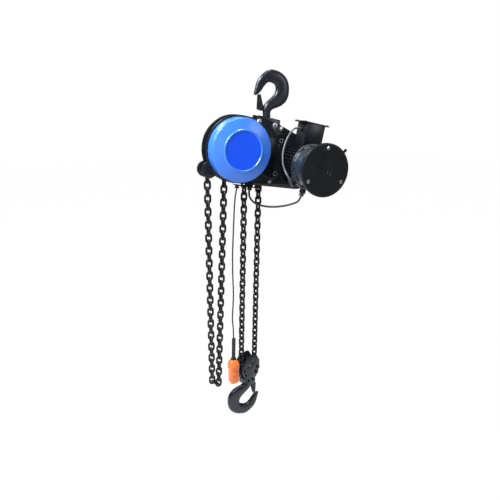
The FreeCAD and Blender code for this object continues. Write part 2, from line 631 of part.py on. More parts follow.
def covers():
    plate_out = "plate_gap/2 + plate_thick"
    wall = "cover_wall"
    cover = turned("GearCover", [
        ("cover_r", f"-({plate_out})"), (f"cover_r - {wall}", f"-({plate_out})"),
        (f"cover_r - {wall}", "-cover_side"), (f"cover_cone_r - {wall}", f"-(cover_front - {wall})"),
        ("0", f"-(cover_front - {wall})"), ("0", "-(cover_front - 1)"),
        ("cover_cone_r - 7", "-(cover_front - 1)"), ("cover_cone_r - 4", "-(cover_front + cover_lip)"),
        ("cover_cone_r", "-(cover_front + cover_lip)"), ("cover_cone_r + 3", "-(cover_front - 1)"),
        ("cover_r - cover_edge", "-(cover_side + cover_edge)"), ("cover_r", "-cover_side")])
    node("gear_cover", cover, TILTED)
    carrier = rod("CarrierDisc", "carrier_r", "-carrier_front", "-(carrier_front - carrier_thick)")
    posts = [rod(f"CarrierPost{i}", "post_r", "-(carrier_front - carrier_thick)", f"-({plate_out})", x)
             for i, x in enumerate(("post_x", "-post_x"))]
    holes = [rod(f"CarrierHole{i}", r, "-carrier_front - 1", "-(carrier_front - carrier_thick) + 1", "0",
                 str(z))
             for i, (r, z) in enumerate((("drive_r + run_gap", 0), ("disc_shaft_r + run_gap", DISC_REACH),
                                         ("disc_shaft_r + run_gap", -DISC_REACH)))]
    node("gear_carrier", cut("GearCarrier", fused("CarrierBlank", carrier, *posts), *holes), TILTED)
    inside, outside = [], []
    for kind, lot, shrink, y_from, y_to in (("Out", outside, "", plate_out, "case_depth"),
                                            ("In", inside, " - case_wall", f"{plate_out} - 1",
                                             "case_depth - case_wall")):
        for tag, radius, at in (("Left", "case_left_r", (0, 0)), ("Mid", "case_mid_r", FIRST_AT),
                                ("Idler", "case_idler_r", IDLER_AT), ("Right", "case_right_r", MOTOR_AT)):
            lot.append(rod(f"Case{kind}{tag}", radius + shrink, y_from, y_to, str(at[0]), str(at[1])))
    pin_room = rod("CasePinRoom", "swing_pin_r + pin_clearance", f"{plate_out} - 1", "case_depth + 1",
                   SWING_X, SWING_Z)
    case = cut("RearGearCase", fused("CaseBlank", *outside), fused("CaseCavity", *inside), pin_room)
    node("rear_gear_case", case, TILTED)
    front_screws = [rod(f"CoverScrew{i}", "3.5", f"-({plate_out}) - 4", f"-({plate_out})", str(x), str(z))
                    for i, (x, z) in enumerate(ring(S.cover_r + 4, 3, 150, 35))]
    rear_screws = [rod(f"CaseScrew{i}", "5", "case_depth", "case_depth + 5", str(x), str(z))
                   for i, (x, z) in enumerate(ring(S.case_left_r - 14, 5, 120, 38) + [MOTOR_AT])]
    node("cover_screws", group("CoverScrews", *front_screws, *rear_screws), TILTED)


def ring(radius, count, start_degrees=0.0, step=None):
    step = math.radians(step or 360 / count)
    first = math.radians(start_degrees)
    return [(radius * math.cos(first + k * step),
             radius * math.sin(first + k * step)) for k in range(count)]


def stays():
    """Stay bolts through both plates, with a spacer sleeve between the plates and a nut in front."""
    bolts = []
    out = "plate_gap/2 + plate_thick"
    for i, (x, z, head, reach) in enumerate(STAYS):
        end = "-plate_gap/2" if reach == "front plate" else out
        pieces = [rod(f"Stay{i}Core", "stay_r - run_gap", f"-({out}) - 1", end, x, z),
                  rod(f"Stay{i}Head", head, f"-({out}) - bolt_head_high", f"-({out})", x, z)]
        if reach != "front plate":
            pieces.append(rod(f"Stay{i}Sleeve", "stay_r + stay_sleeve", "-plate_gap/2", "plate_gap/2", x,
                              z))
        if reach == "nut":
            pieces.append(rod(f"Stay{i}Nut", "bolt_head_r", out, f"{out} + bolt_tail", x, z))
        bolts.append(fused(f"Stay{i}", *pieces))
    node("stay_bolts", group("StayBolts", *bolts), TILTED)


def bearings_and_pins():
    rings = [turned(f"SheaveBearing{k}", [("journal_r + run_gap", a), ("bearing_r", a), ("bearing_r", b),
                                          ("journal_r + run_gap", b)])
             for k, (a, b) in enumerate((("-plate_gap/2 - plate_thick", "-plate_gap/2"),
                                         ("plate_gap/2", "plate_gap/2 + plate_thick")))]
    motor = [turned(f"RotorBearing{k}", [("rotor_shaft_r + run_gap", a), ("bearing_r - 12", a),
                                         ("bearing_r - 12", b), ("rotor_shaft_r + run_gap", b)])
             for k, (a, b) in enumerate((("-plate_gap/2 - plate_thick", "-plate_gap/2"),
                                         ("plate_gap/2", "plate_gap/2 + plate_thick")))]
    for one in motor:
        one.Placement = moved(S.motor_x, 0, S.motor_z)
    node("shaft_bearings", group("ShaftBearings", *rings, *motor), TILTED)
    x, z = map(str, body_place(ANCHORED_X, ANCHOR_Z))
    ear_pin = fused("EarPin", rod("EarPinCore", "anchor_pin_r - run_gap", "-plate_gap/2 - plate_thick - 3",
                                  "plate_gap/2 + plate_thick + 3", "ear_x", "ear_z"),
                    rod("EarPinHead", "anchor_pin_r + 4", "-plate_gap/2 - plate_thick - 6",
                        "-plate_gap/2 - plate_thick", "ear_x", "ear_z"),
                    rod("EarPinTail", "anchor_pin_r + 3", "plate_gap/2 + plate_thick",
                        "plate_gap/2 + plate_thick + 4", "ear_x", "ear_z"))
    link_front, link_rear = f"{ANCHORED_Y} - wire/2", f"{ANCHORED_Y} + wire/2"
    anchor = fused("AnchorPin", rod("AnchorPinCore", "anchor_pin_r - run_gap", f"{link_front} - 4",
                                    f"{link_rear} + 12", x, z),
                   rod("AnchorPinHead", "anchor_pin_r + 3", f"{link_front} - 4", f"{link_front} - 1", x, z),
                   rod("AnchorPinTail", "anchor_pin_r + 3", f"{link_rear} + 10", f"{link_rear} + 13", x, z))
    node("anchor_pins", group("AnchorPins", ear_pin, anchor), TILTED)
    arm = block("AnchorArm", f"{x} - 14", f"{x} + 14", f"{link_rear} + 3", f"{link_rear} + 10", f"{z} - 14",
                f"{z} + 38")
    foot = block("AnchorFoot", f"{x} - 14", f"{x} + 2", "plate_gap/2 + plate_thick", f"{link_rear} + 10",
                 f"{z} + 30", f"{z} + 38")
    hole = rod("AnchorHole", "anchor_pin_r", f"{link_rear} + 2", f"{link_rear} + 11", x, z)
    node("anchor_bracket", cut("AnchorBracket", fused("AnchorBlank", arm, foot), hole), TILTED)
    guide = slab("ChainGuide", [("-10", "-(sheave_rim_r + 8)"), ("12", "-(sheave_rim_r + 8)"),
                                ("15", "-(sheave_rim_r + 22)"),
                 ("12", "-(sheave_rim_r + 60)"), ("-8", "-(sheave_rim_r + 60)"),
                 ("-13", "-(sheave_rim_r + 22)")],
                 "-plate_gap/2", "plate_gap/2")
    node("chain_guide", guide, TILTED)


# ---------------------------------------------------------------- motor, brake and terminal box
def motor():
    here = moved(S.motor_x, 0, S.motor_z)
    plate_out = "plate_gap/2 + plate_thick"
    barrel = turned("MotorBarrel", [
        ("barrel_r - barrel_wall", f"-({plate_out} + flange_thick)"),
        ("rotor_shaft_r + 8", f"-({plate_out} + flange_thick)"),
        ("rotor_shaft_r + 8", f"-({plate_out})"), ("flange_r", f"-({plate_out})"),
        ("flange_r", f"-({plate_out} + flange_thick)"), ("barrel_r", f"-({plate_out} + flange_thick)"),
        ("barrel_r", "-barrel_front"), ("barrel_r - barrel_wall", "-barrel_front")])
    fin = barrel.newObject("PartDesign::AdditiveBox", "MotorFin")
    bind(fin, Length="fin_high + 2", Width=f"barrel_front - ({plate_out} + flange_thick)",
         Height="fin_thick")
    fin.Placement = moved(S.barrel_r - 2, -S.barrel_front, -S.fin_thick / 2)
    fins = barrel.newObject("PartDesign::PolarPattern", "MotorFins")
    fins.Originals = [fin]
    axis = next(o for o in barrel.Origin.OriginFeatures if o.Role == "Y_Axis")
    fins.Axis = (axis, [""])
    fins.Angle = 360
    fins.Occurrences = int(S.fin_count)
    barrel.Tip = fins
    node("motor_shell", barrel, TILTED, here)
    stator = turned("Stator", [("stator_inner", "-stator_front"), ("barrel_r - barrel_wall - face_gap",
        "-stator_front"),
                    ("barrel_r - barrel_wall - face_gap", "-stator_rear"),
                    ("stator_inner", "-stator_rear")])
    node("motor_stator", stator, TILTED, here)
    housing = turned("BrakeHousing", [
        ("rotor_shaft_r + 8", "-barrel_front"), ("shield_r", "-barrel_front"),
        ("shield_r", "-(barrel_front + shield_thick)"),
        ("neck_rear_r", "-(barrel_front + shield_thick)", "-140"),
        ("waist_r + 3", "-(neck_front - 32)", "-60"),
        ("neck_front_r", "-neck_front"), ("neck_front_r - neck_wall", "-neck_front"),
        ("waist_r + 3 - neck_wall", "-(neck_front - 32)"),
        ("neck_rear_r - neck_wall - 4", "-(barrel_front + shield_thick)"),
        ("rotor_shaft_r + 8", "-(barrel_front + shield_thick)")])
    node("brake_housing", housing, TILTED, here)
    disc = turned("MotorEndDisc", [("0", "-neck_front"), ("end_disc_r", "-neck_front"),
                                   ("end_disc_r", "-(neck_front + end_disc_thick - 2)"),
                  ("end_disc_r - 2", "-(neck_front + end_disc_thick)"),
                  ("13", "-(neck_front + end_disc_thick)"),
                  ("13", "-(neck_front + end_disc_thick - 4)"),
                  ("0", "-(neck_front + end_disc_thick - 4)")])
    node("motor_end_disc", disc, TILTED, here)
    screws = [rod(f"EndScrew{i}", "7.5", "-(neck_front + end_disc_thick + 5)",
                  "-(neck_front + end_disc_thick)", str(x), str(z))
              for i, (x, z) in enumerate(ring(94, 3, 98))]
    node("end_disc_screws", group("EndDiscScrews", *screws), TILTED, here)
    rotor = turned("MotorRotor", [
        ("0", "-(brake_disc_front + 3)"), ("rotor_shaft_r", "-(brake_disc_front + 3)"),
        ("rotor_shaft_r", "-stator_front"),
        ("stator_inner - rotor_gap", "-stator_front"), ("stator_inner - rotor_gap", "-stator_rear"),
        ("rotor_shaft_r", "-stator_rear"), ("rotor_shaft_r", "plate_gap/2 + plate_thick + 2"),
        ("0", "plate_gap/2 + plate_thick + 2")])
    tail = FIRST_GEAR_REAR + 2
    pinion = shape("MotorPinion",
                   gear(S.rear_module, int(S.motor_teeth), 0.0, FIRST_GEAR_REAR - S.first_gear_wide - 1,
                                       FIRST_GEAR_REAR + 1).fuse(cylinder(S.rotor_shaft_r, PLATE_OUT,
                                           tail)))
    node("motor_rotor", fused("RotorWithPinion", rotor, pinion), TILTED, here)
    node("brake_disc", turned("BrakeDisc", [
        ("rotor_shaft_r + face_gap", "-brake_disc_front"), ("brake_disc_r", "-brake_disc_front"),
        ("brake_disc_r", "-(brake_disc_front - brake_disc_thick)"),
        ("rotor_shaft_r + face_gap", "-(brake_disc_front - brake_disc_thick)")]), TILTED, here)
    arm = "(brake_disc_front + brake_gap)"
    node("brake_armature", turned("BrakeArmature", [
        ("rotor_shaft_r + 6", f"-{arm}"), ("brake_disc_r", f"-{arm}"),
        ("brake_disc_r", f"-({arm} + armature_thick)"),
        ("rotor_shaft_r + 6", f"-({arm} + armature_thick)")]), TILTED, here)
    coil = f"({arm} + armature_thick + armature_travel + brake_gap)"
    node("brake_coil", turned("BrakeCoil", [
        ("rotor_shaft_r + 6", f"-{coil}"), ("coil_r", f"-{coil}"), ("coil_r", "-neck_front"),
        ("rotor_shaft_r + 6", "-neck_front")]),
        TILTED, here)


def terminal_box():
    here = moved(S.motor_x, 0, 0)
    half, wall = "box_wide/2", "box_wall"
    floor = "motor_z + barrel_r + fin_high - 12"
    outer = block("BoxOuter", f"-{half}", half, "-box_front", "-box_rear", floor, "box_top")
    inner = block("BoxInner", f"-{half} + {wall}", f"{half} - {wall}", f"-box_front + {wall}",
                  f"-box_rear - {wall}",
                  f"{floor} + 16", "box_top + 1")
    saddle = rod("BoxSaddle", "barrel_r + fin_high + face_gap", "-box_front - 1", "-box_rear + 1", "0",
                 "motor_z")
    entries = [box_bore("MotorCableHole", "grey_cable_r + 4", f"-{half} - 2", GREY_Y, GREY_Z),
               box_bore("SupplyHole", "supply_bore_r", f"{half} - {wall} - 2", "supply_y", "supply_z")]
    node("terminal_box", cut("TerminalBox", outer, inner, saddle, *entries), TILTED, here)
    lid = fused("LidBlank", block("LidTop", "-lid_wide/2", "lid_wide/2", "-lid_front", "-lid_rear",
                                  "box_top", "box_top + lid_thick"),
                block("LidPlug", f"-{half} + {wall} + 0.3", f"{half} - {wall} - 0.3",
                      f"-box_front + {wall} + 0.3",
                      f"-box_rear - {wall} - 0.3", "box_top - 3", "box_top"))
    node("box_lid", lid, TILTED, here)
    corners = [(x, y) for x in (-1, 1) for y in ("-lid_front + 8", "-lid_rear - 8")]
    node("lid_screws", group("LidScrews", *[post(f"LidScrew{i}", "4", "box_top + lid_thick",
                                                 "box_top + lid_thick + 3",
         f"{x}*(lid_wide/2 - 9)", y) for i, (x, y) in enumerate(corners)]), TILTED, here)


def box_bore(name, radius, x, y, z):
    """A cutter for a cable entry in one of the box's side walls."""
    item = bind(new("Part::Cylinder", name), Radius=radius, Height="box_wall + 4")
    item.Placement = FreeCAD.Placement(V(0, 0, 0), FreeCAD.Rotation(Y, 90))
    return spot(item, x, y, z)


GREY_Y, GREY_Z = "-84", "142"


# ---------------------------------------------------------------- hooks
# The hook's bowl from neck to tip: each section's inner edge (x, z), outer edge (x, z) and thickness
# along Y, from the middle of the seat, for a hook that stands on its shank and opens to -X.
BOWL = [((-21, -110), (16, -118), 34), ((-18, -97), (28, -111), 34), ((-10, -85), (47, -105), 34),
        ((1, -75), (66, -97), 34), ((12, -66), (84, -83), 34), ((24, -55), (96, -66), 34),
        ((34, -42), (102, -42), 34), ((39, -27), (101, -14), 34), ((34, -11), (90, 16), 34),
        ((22, -3), (66, 39), 34), ((8, 1), (36, 51), 33), ((-4, -1), (4, 53), 31),
        ((-14, -9), (-24, 38), 29),
        ((-24, -21), (-44, 20), 26), ((-33, -34), (-57, -6), 23), ((-41, -43), (-63, -28), 20),
        ((-49, -49), (-67, -44), 16), ((-58, -54), (-69, -51), 10)]
LATCH_AT = (-31.0, -110.0)
LATCH_END = (-41.5, -50.0)
CORNERS = 16          # points round one section
BOWL_FULLNESS = 0.8   # 1 is an ellipse, less is fuller


def oval(inner, outer, thick, fullness):
    """The points round a closed section of the hook between two places (x, z) in its own plane."""
    middle = V((inner[0] + outer[0]) / 2, 0, (inner[1] + outer[1]) / 2)
    across = V(outer[0] - inner[0], 0, outer[1] - inner[1]) * 0.5
    ring = []
    for k in range(CORNERS):
        c, e = math.cos(2 * math.pi * k / CORNERS), math.sin(2 * math.pi * k / CORNERS)
        ring.append(middle + across * math.copysign(abs(c) ** fullness, c)
                    + V(0, math.copysign(abs(e) ** fullness, e) * thick / 2, 0))
    return ring


def skinned(rings):
    """A solid with one smooth side through closed rings of points and a flat end at either end."""
    rounds = [k / len(rings[0]) for k in range(len(rings[0]) + 1)]
    middles = [sum(ring, V()) * (1 / len(ring)) for ring in rings]
    along = [0.0]
    for a, b in zip(middles, middles[1:]):
        along.append(along[-1] + (b - a).Length)
    ring_poles = []
    for ring in rings:
        ring_curve = Part.BSplineCurve()
        ring_curve.interpolate(Points=ring, PeriodicFlag=True, Parameters=rounds)
        ring_poles.append(ring_curve.getPoles())
    poles = []
    for row in zip(*ring_poles):
        rail = Part.BSplineCurve()
        rail.interpolate(Points=list(row), Parameters=along)
        poles.append(rail.getPoles())
    side = Part.BSplineSurface()
    side.buildFromPolesMultsKnots(poles, ring_curve.getMultiplicities(), rail.getMultiplicities(),
                                  ring_curve.getKnots(), rail.getKnots(), True, False, 3, 3)
    ends = [Part.Face(Part.Wire(side.vIso(v).toShape())) for v in (along[0], along[-1])]
    shell = Part.Shell([side.toShape()] + ends)
    shell.sewShape()
    body = Part.Solid(shell)
    if body.Volume < 0:
        body.reverse()
    return body


def hook(shank_length):
    """A latch hook on its shank, the middle of its seat at the origin."""
    left, right = S.shank_x - S.shank_r, S.shank_x + S.shank_r
    rings = [oval((left, z), (right, z), 2 * S.shank_r, 1) for z in (-shank_length,
        -(shank_length + 116) / 2)]
    for inner, outer, thick in BOWL:
        rings.append(oval(inner, outer, thick * S.hook_thick / 34, BOWL_FULLNESS))
    lug = Part.makeBox(26, 2 * S.lug_half, 18, V(LATCH_AT[0], -S.lug_half, LATCH_AT[1] - 9))
    lug = lug.fuse(Part.makeCylinder(9, 2 * S.lug_half, V(LATCH_AT[0], -S.lug_half, LATCH_AT[1]), Y))
    hole = Part.makeCylinder(S.latch_pin_r + S.run_gap, 40, V(LATCH_AT[0], -20, LATCH_AT[1]), Y)
    return skinned(rings).fuse(lug).cut(hole)


def latch():
    """A pressed channel on a pin, from the lug on the hook's neck to the inside of its tip."""
    (x, z), (ex, ez) = LATCH_AT, LATCH_END
    reach = math.hypot(ex - x, ez - z)
    inside = S.lug_half + S.link_gap
    thick = 2.0
    side = [(-19, 1), (-6, reach), (3, reach), (9, 4), (6, -7), (-5, -8), (-19, 1)]
    plates = [Part.Face(Part.makePolygon([V(a, y, b) for a, b in side])).extrude(V(0, thick, 0))
              for y in (-inside - thick, inside)]
    web = Part.Face(Part.makePolygon([V(a, -inside - 0.5, b) for a, b in (
        (-19, 1), (-6, reach), (-3.5, reach), (-16, 2), (-19, 1))])).extrude(V(0, 2 * inside + 1, 0))
    pin = Part.makeCylinder(S.latch_pin_r, 2 * inside + 10, V(0, -inside - 5, 0), Y)
    whole = pin.fuse(plates + [web])
    whole.rotate(V(), Y, math.degrees(math.atan2(ex - x, ez - z)))
    whole.translate(V(x, 0, z))
    return whole


def hooks():
    at_top = moved(S.hook_x, 0, S.hook_rise)
    stem_end = S.top_shank + S.yoke_top_web + S.nut_high + 4
    stem = cylinder_z(S.stem_r, -stem_end, -S.top_shank + 10, S.shank_x)
    node("top_hook", shape("TopHook", hook(S.top_shank).fuse(stem)), HUNG, at_top)
    nut_top = -(S.top_shank + S.yoke_top_web + S.link_gap)
    nut = hexagon(S.nut_r, nut_top - S.nut_high, nut_top, S.shank_x).cut(
        cylinder_z(S.stem_r + S.face_gap, nut_top - S.nut_high - 1, nut_top + 1, S.shank_x))
    node("top_hook_nut", shape("TopHookNut", nut), HUNG, at_top)
    node("top_latch", shape("TopLatch", latch()), HUNG, at_top)
    at_load = moved(*LOAD_SEAT).multiply(moved(axis=Y, angle=180))
    flange_z = -(S.load_shank + S.crosshead_web + S.run_gap)
    flange = cylinder_z(S.nut_r - 1, flange_z - S.flange_high, flange_z, S.shank_x)
    stem = cylinder_z(S.stem_r, flange_z - 1, -S.load_shank + 10, S.shank_x)
    node("load_hook", shape("LoadHook", hook(S.load_shank).fuse([flange, stem])), HUNG, at_load)
    node("load_latch", shape("LoadLatch", latch()), HUNG, at_load)


def cylinder_z(radius, z_from, z_to, x=0.0):
    return Part.makeCylinder(radius, z_to - z_from, V(x, 0, z_from))


def hexagon(corner_r, z_from, z_to, x=0.0):
    corners = [V(x + corner_r * math.cos(k * math.pi / 3), corner_r * math.sin(k * math.pi / 3),
                 z_from) for k in range(7)]
    return Part.Face(Part.makePolygon(corners)).extrude(V(0, 0, z_to - z_from))


CROSSHEAD_TOP = -(STAND_R + S.link_inner_width / 2 + S.wire + 2)
CROSSHEAD_BOTTOM = CROSSHEAD_TOP - S.crosshead_high
LOAD_SEAT = (BLOCK_X + S.shank_x, BLOCK_Y, IDLER_Z + CROSSHEAD_BOTTOM - S.load_shank)


def yoke():
    at = moved(S.hook_x + S.shank_x, 0, S.hook_rise - S.top_shank)
    half = "plate_gap/2 - yoke_gap"
    outer = block("YokeBlock", "-yoke_wide/2", "yoke_wide/2", f"-({half})", half, "-yoke_high", "-0.3")
    window = block("YokeWindow", "-yoke_window_wide/2", "yoke_window_wide/2", "-plate_gap", "plate_gap",
                   "-(yoke_top_web + yoke_window)", "-yoke_top_web")
    stem = post("YokeBore", "stem_r + run_gap", "-yoke_top_web - 1", "1")
    pin = rod("YokePinHole", "swing_pin_r + face_gap", "-plate_gap", "plate_gap", "0", "-swing_drop")
    node("hook_yoke", cut("HookYoke", outer, window, stem, pin), HUNG, at)
    out = "plate_gap/2 + plate_thick"
    node("swing_pin", fused("SwingPin", rod("SwingPinCore", "swing_pin_r", f"-({out} + 8)", f"{out} + 8",
                                            "0", "-swing_drop"),
         rod("SwingPinHead", "swing_pin_r + 5", f"-({out} + 8)", f"-({out} + 0.5)", "0", "-swing_drop")),
         HUNG, at)


# ---------------------------------------------------------------- hook block
def hook_block():
    inside = "plate_gap/2"
    low = str(CROSSHEAD_BOTTOM)
    outline = [("-cheek_half", "-cheek_low/3"), ("-cheek_half*0.62", "-cheek_low"),
               ("-crosshead_half", "-cheek_low - 4"),
               ("-crosshead_half", low), ("crosshead_half", low), ("crosshead_half", "-cheek_low - 4"),
               ("cheek_half*0.62", "-cheek_low"), ("cheek_half", "-cheek_low/3"),
               ("cheek_half", "cheek_top/2.6"),
               ("cheek_half*0.55", "cheek_top"), ("-cheek_half*0.55", "cheek_top"),
               ("-cheek_half", "cheek_top/2.6")]
    for name, y_from, y_to in (("front_cheek", f"-({inside} + cheek_thick)", f"-({inside})"),
                               ("rear_cheek", inside, f"{inside} + cheek_thick")):
        blank = slab(name.title().replace("_", "") + "Slab", outline, y_from, y_to)
        holes = [rod(name + "Axle", "block_axle_r + face_gap", f"{y_from} - 1", f"{y_to} + 1")]
        holes += [rod(f"{name}Bolt{i}", "block_bolt_r", f"{y_from} - 1", f"{y_to} + 1", x, z)
                  for i, (x, z) in enumerate(BLOCK_BOLTS)]
        node(name, cut(name.title().replace("_", ""), blank, *holes), HUNG, AT_BLOCK)
    out = f"({inside} + cheek_thick)"
    node("block_axle", fused("BlockAxle", rod("AxleCore", "block_axle_r", f"-{out} - 2", f"{out} + 2"),
         rod("AxleFront", "block_axle_r + 6", f"-{out} - 6", f"-{out}"),
         rod("AxleRear", "block_axle_r + 6", out, f"{out} + 6")),
         HUNG, AT_BLOCK)
    bolts = []
    for i, (x, z) in enumerate(CROSSHEAD_BOLTS):
        bolts.append(fused(f"BlockBolt{i}", rod(f"BlockBoltCore{i}", "block_bolt_r - face_gap",
                                                f"-{out} - 1", f"{out} + 1", x, z),
                     rod(f"BlockBoltHead{i}", "block_head_r", f"-{out} - block_head_high", f"-{out}", x, z),
                     rod(f"BlockBoltNut{i}", "block_head_r", out, f"{out} + block_head_high", x, z)))
    for i, (x, z) in enumerate(CHEEK_SCREWS):
        for side, near, far in (("Front", f"-{out}", f"-({inside})"), ("Rear", out, inside)):
            ends = (f"{near} - block_head_high", near) if side == "Front" else (near,
                f"{near} + block_head_high")
            core = (near, far) if side == "Front" else (far, near)
            bolts.append(fused(f"Cheek{side}Screw{i}", rod(f"Cheek{side}Core{i}", "block_bolt_r - face_gap",
                                                           *core, x, z),
                         rod(f"Cheek{side}Head{i}", "block_head_r", *ends, x, z)))
    node("block_bolts", group("BlockBolts", *bolts), HUNG, AT_BLOCK)
    head = block("CrossheadBlock", "-crosshead_half", "crosshead_half", f"-({inside})", inside, low,
                 str(CROSSHEAD_TOP))
    bore = post("CrossheadBore", "stem_r + run_gap", f"{low} - 1", f"{low} + crosshead_web + 1")
    room = post("CrossheadRoom", "nut_r - 1 + run_gap", f"{low} + crosshead_web",
                f"{low} + crosshead_web + flange_high + 2*run_gap")
    through = [rod(f"CrossheadBolt{i}", "block_bolt_r", "-plate_gap", "plate_gap", x, z)
               for i, (x, z) in enumerate(CROSSHEAD_BOLTS)]
    node("block_crosshead", cut("Crosshead", head, bore, room, *through), HUNG, AT_BLOCK)
    wheel = chain_sheave("ReturnSheave", "sheave_width/2", "block_axle_r + run_gap")
    node("return_sheave", wheel, HUNG, AT_BLOCK, moved(axis=Y, angle=-180))


CROSSHEAD_BOLTS = [(x, f"{CROSSHEAD_TOP} - 7") for x in ("-15", "15")]
CHEEK_SCREWS = [(f"{side}*(cheek_half - {inset}*cheek_screw_inset)", f"-{drop}*cheek_low")
                for side in (-1, 1) for inset, drop in ((1, 0.2), (2, 0.63))]
BLOCK_BOLTS = CROSSHEAD_BOLTS + CHEEK_SCREWS


BUTTON_Z = ("-0.3*pendant_high", "-0.63*pendant_high")


def pendant():
    at = moved(S.pendant_x, BRACKET_Y, S.pendant_top)
    half, deep, high = "pendant_wide/2", "pendant_deep/2", "pendant_high"
    outline = [("-9", "0"), (f"-{half}", "-24"), (f"-{half}", f"-{high}/2 + 14"),
               (f"-{half} + 5", f"-{high}/2 - 4"),
               (f"-{half} + 5", f"-{high} + 10"), (f"-{half} + 12", f"-{high}"),
               (f"{half} - 12", f"-{high}"),
               (half, f"-{high} + 10"), (half, "-16"), ("12", "0")]
    shell = slab("PendantSlab", outline, f"-{deep}", deep)
    wells = [rod(f"ButtonWell{i}", "button_r + 0.4", f"-{deep} - 1", f"-{deep} + button_travel + 6", "0",
                 z) for i, z in enumerate(BUTTON_Z)]
    bore = post("PendantBore", "cable_r", "-12", "1")
    node("pendant_housing", cut("PendantHousing", shell, *wells, bore), HUNG, at)
    for name, z in zip(("button_up", "button_down"), BUTTON_Z):
        node(name, fused(name.title().replace("_", ""), rod(name + "Cap", "button_r", f"-{deep} - 7",
                                                            f"-{deep} + 5.5", "0", z),
             rod(name + "Stem", "4", f"-{deep} + 5", f"-{deep} + 5.9", "0", z)), HUNG, at)
    sleeve = turned("PendantSleeve", [("cable_r + face_gap", "0.3"), ("9", "0.3"), ("8", "sleeve_high*0.6"),
                                      ("6", "sleeve_high"),
                    ("cable_r + face_gap", "sleeve_high")], along="Z")
    node("pendant_sleeve", sleeve, HUNG, at)


# ---------------------------------------------------------------- cables
def tube(name, points, radius):
    """A cable: straight runs joined by tangent arcs, each as large as its two runs allow."""
    points = [V(*p) for p in points]
    edges, at = [], points[0]
    radii = []
    for before, corner, after in zip(points, points[1:], points[2:]):
        back, ahead = (before - corner), (after - corner)
        turn = math.pi - back.getAngle(ahead)
        short = 0.45 * min(back.Length, ahead.Length)
        first = corner + back.normalize() * short
        last = corner + ahead.normalize() * short
        bend = short / math.tan(turn / 2)
        radii.append(round(bend))
        middle = corner + (back + ahead).normalize() * (bend / math.cos(turn / 2) - bend)
        edges += [Part.LineSegment(at, first).toShape(), Part.Arc(first, middle, last).toShape()]
        at = last
    edges.append(Part.LineSegment(at, points[-1]).toShape())
    path = Part.Wire(edges)
    section = Part.Wire(Part.makeCircle(radius, points[0], points[1] - points[0]))
    solid = path.makePipeShell([section], True, False)
    ideal = math.pi * radius**2 * path.Length
    print(f"{name}: length {path.Length:.0f}, radii {radii}, volume ratio {solid.Volume / ideal:.5f}")
    return node(name, shape(name.title().replace("_", ""), solid), HUNG)


def gland(name, radius, place, hold):
    """A cable gland, its cable end at the origin and its housing end towards +Z."""
    item = Part.makeCylinder(radius + 4, hold).fuse([
        Part.makeCylinder(radius + 7, 5, V(0, 0, 1)), Part.makeCylinder(radius + 5.5, 6, V(0, 0, 7))])
    item = item.cut(Part.makeCylinder(radius + S.face_gap, hold + 2, V(0, 0, -1)))
    item.Placement = place
    return shape(name, item)


def radial(angle, reach, y):
    """A place on a ray from the motor's axis, in the body's axes."""
    a = math.radians(angle)
    return V(S.motor_x + reach * math.cos(a), y, S.motor_z + reach * math.sin(a))


LUG_ANGLES = (229.0, 262.0)
LUG_Y = "-(barrel_front + shield_thick)", "-(barrel_front - 10)"
BRACKET_Y = -40.0
BRACKET_LOW = -152.0
EXITS = {"pendant": 24.0, "loop": 86.0}


def cable_fittings():
    """The bracket under the front plate, the two lugs on the motor ring and the five glands."""
    lugs = []
    for i, angle in enumerate(LUG_ANGLES):
        lug = block(f"LugBlock{i}", "shield_r + face_gap", "shield_r + 20", LUG_Y[0], LUG_Y[1], "-11", "11")
        turned_lug = fused(f"Lug{i}", lug, lug_rib(i))
        turned_lug.Placement = moved(S.motor_x, 0, S.motor_z, Y, -angle)
        lugs.append(turned_lug)
    node("cable_lugs", group("CableLugs", *lugs), TILTED)
    thick = 3
    floor = block("BracketFloor", "8", "104", "-54", "-plate_gap/2", str(BRACKET_LOW),
                  f"{BRACKET_LOW} + {thick}")
    flange = block("BracketFlange", "64", "104", f"-plate_gap/2 - plate_thick - {thick}",
                   "-plate_gap/2 - plate_thick",
                   str(BRACKET_LOW), f"{BRACKET_LOW} + 22")
    bores = [post(f"BracketBore{k}", "loop_cable_r + 4", f"{BRACKET_LOW} - 1",
                  f"{BRACKET_LOW} + {thick} + 1", str(x), str(BRACKET_Y))
             for k, x in enumerate(EXITS.values())]
    node("cable_bracket", cut("CableBracket", fused("BracketBlank", floor, flange), *bores), TILTED)
    glands = []
    for name, radius in (("pendant", S.cable_r), ("loop", S.loop_cable_r)):
        start_z = BRACKET_LOW - 13
        glands.append(gland(name.title() + "Gland", radius,
                            FreeCAD.Placement(V(EXITS[name], BRACKET_Y, start_z), FreeCAD.Rotation()), 16))
    box_way = FreeCAD.Rotation(Z, X)
    glands.append(gland("BoxGland", S.grey_cable_r, FreeCAD.Placement(
        V(S.motor_x - S.box_wide / 2 - 13, value(GREY_Y), value(GREY_Z)), box_way), 19))
    glands.append(gland("LugGland0", S.grey_cable_r,
                        FreeCAD.Placement(LUG_ENTRY, FreeCAD.Rotation(Z, LUG_WAY)), 13))
    glands.append(gland("LugGland1", S.loop_cable_r,
                        FreeCAD.Placement(LOOP_END, FreeCAD.Rotation(Z, LOOP_WAY)), 13))
    node("cable_glands", group("CableGlands", *glands), TILTED)


def lug_rib(i):
    """A rib behind a lug, along the motor."""
    return block(f"LugRib{i}", "shield_r + face_gap", "shield_r + 12", f"{LUG_Y[0]} + 3", f"{LUG_Y[1]} + 8",
                 "-5", "5")


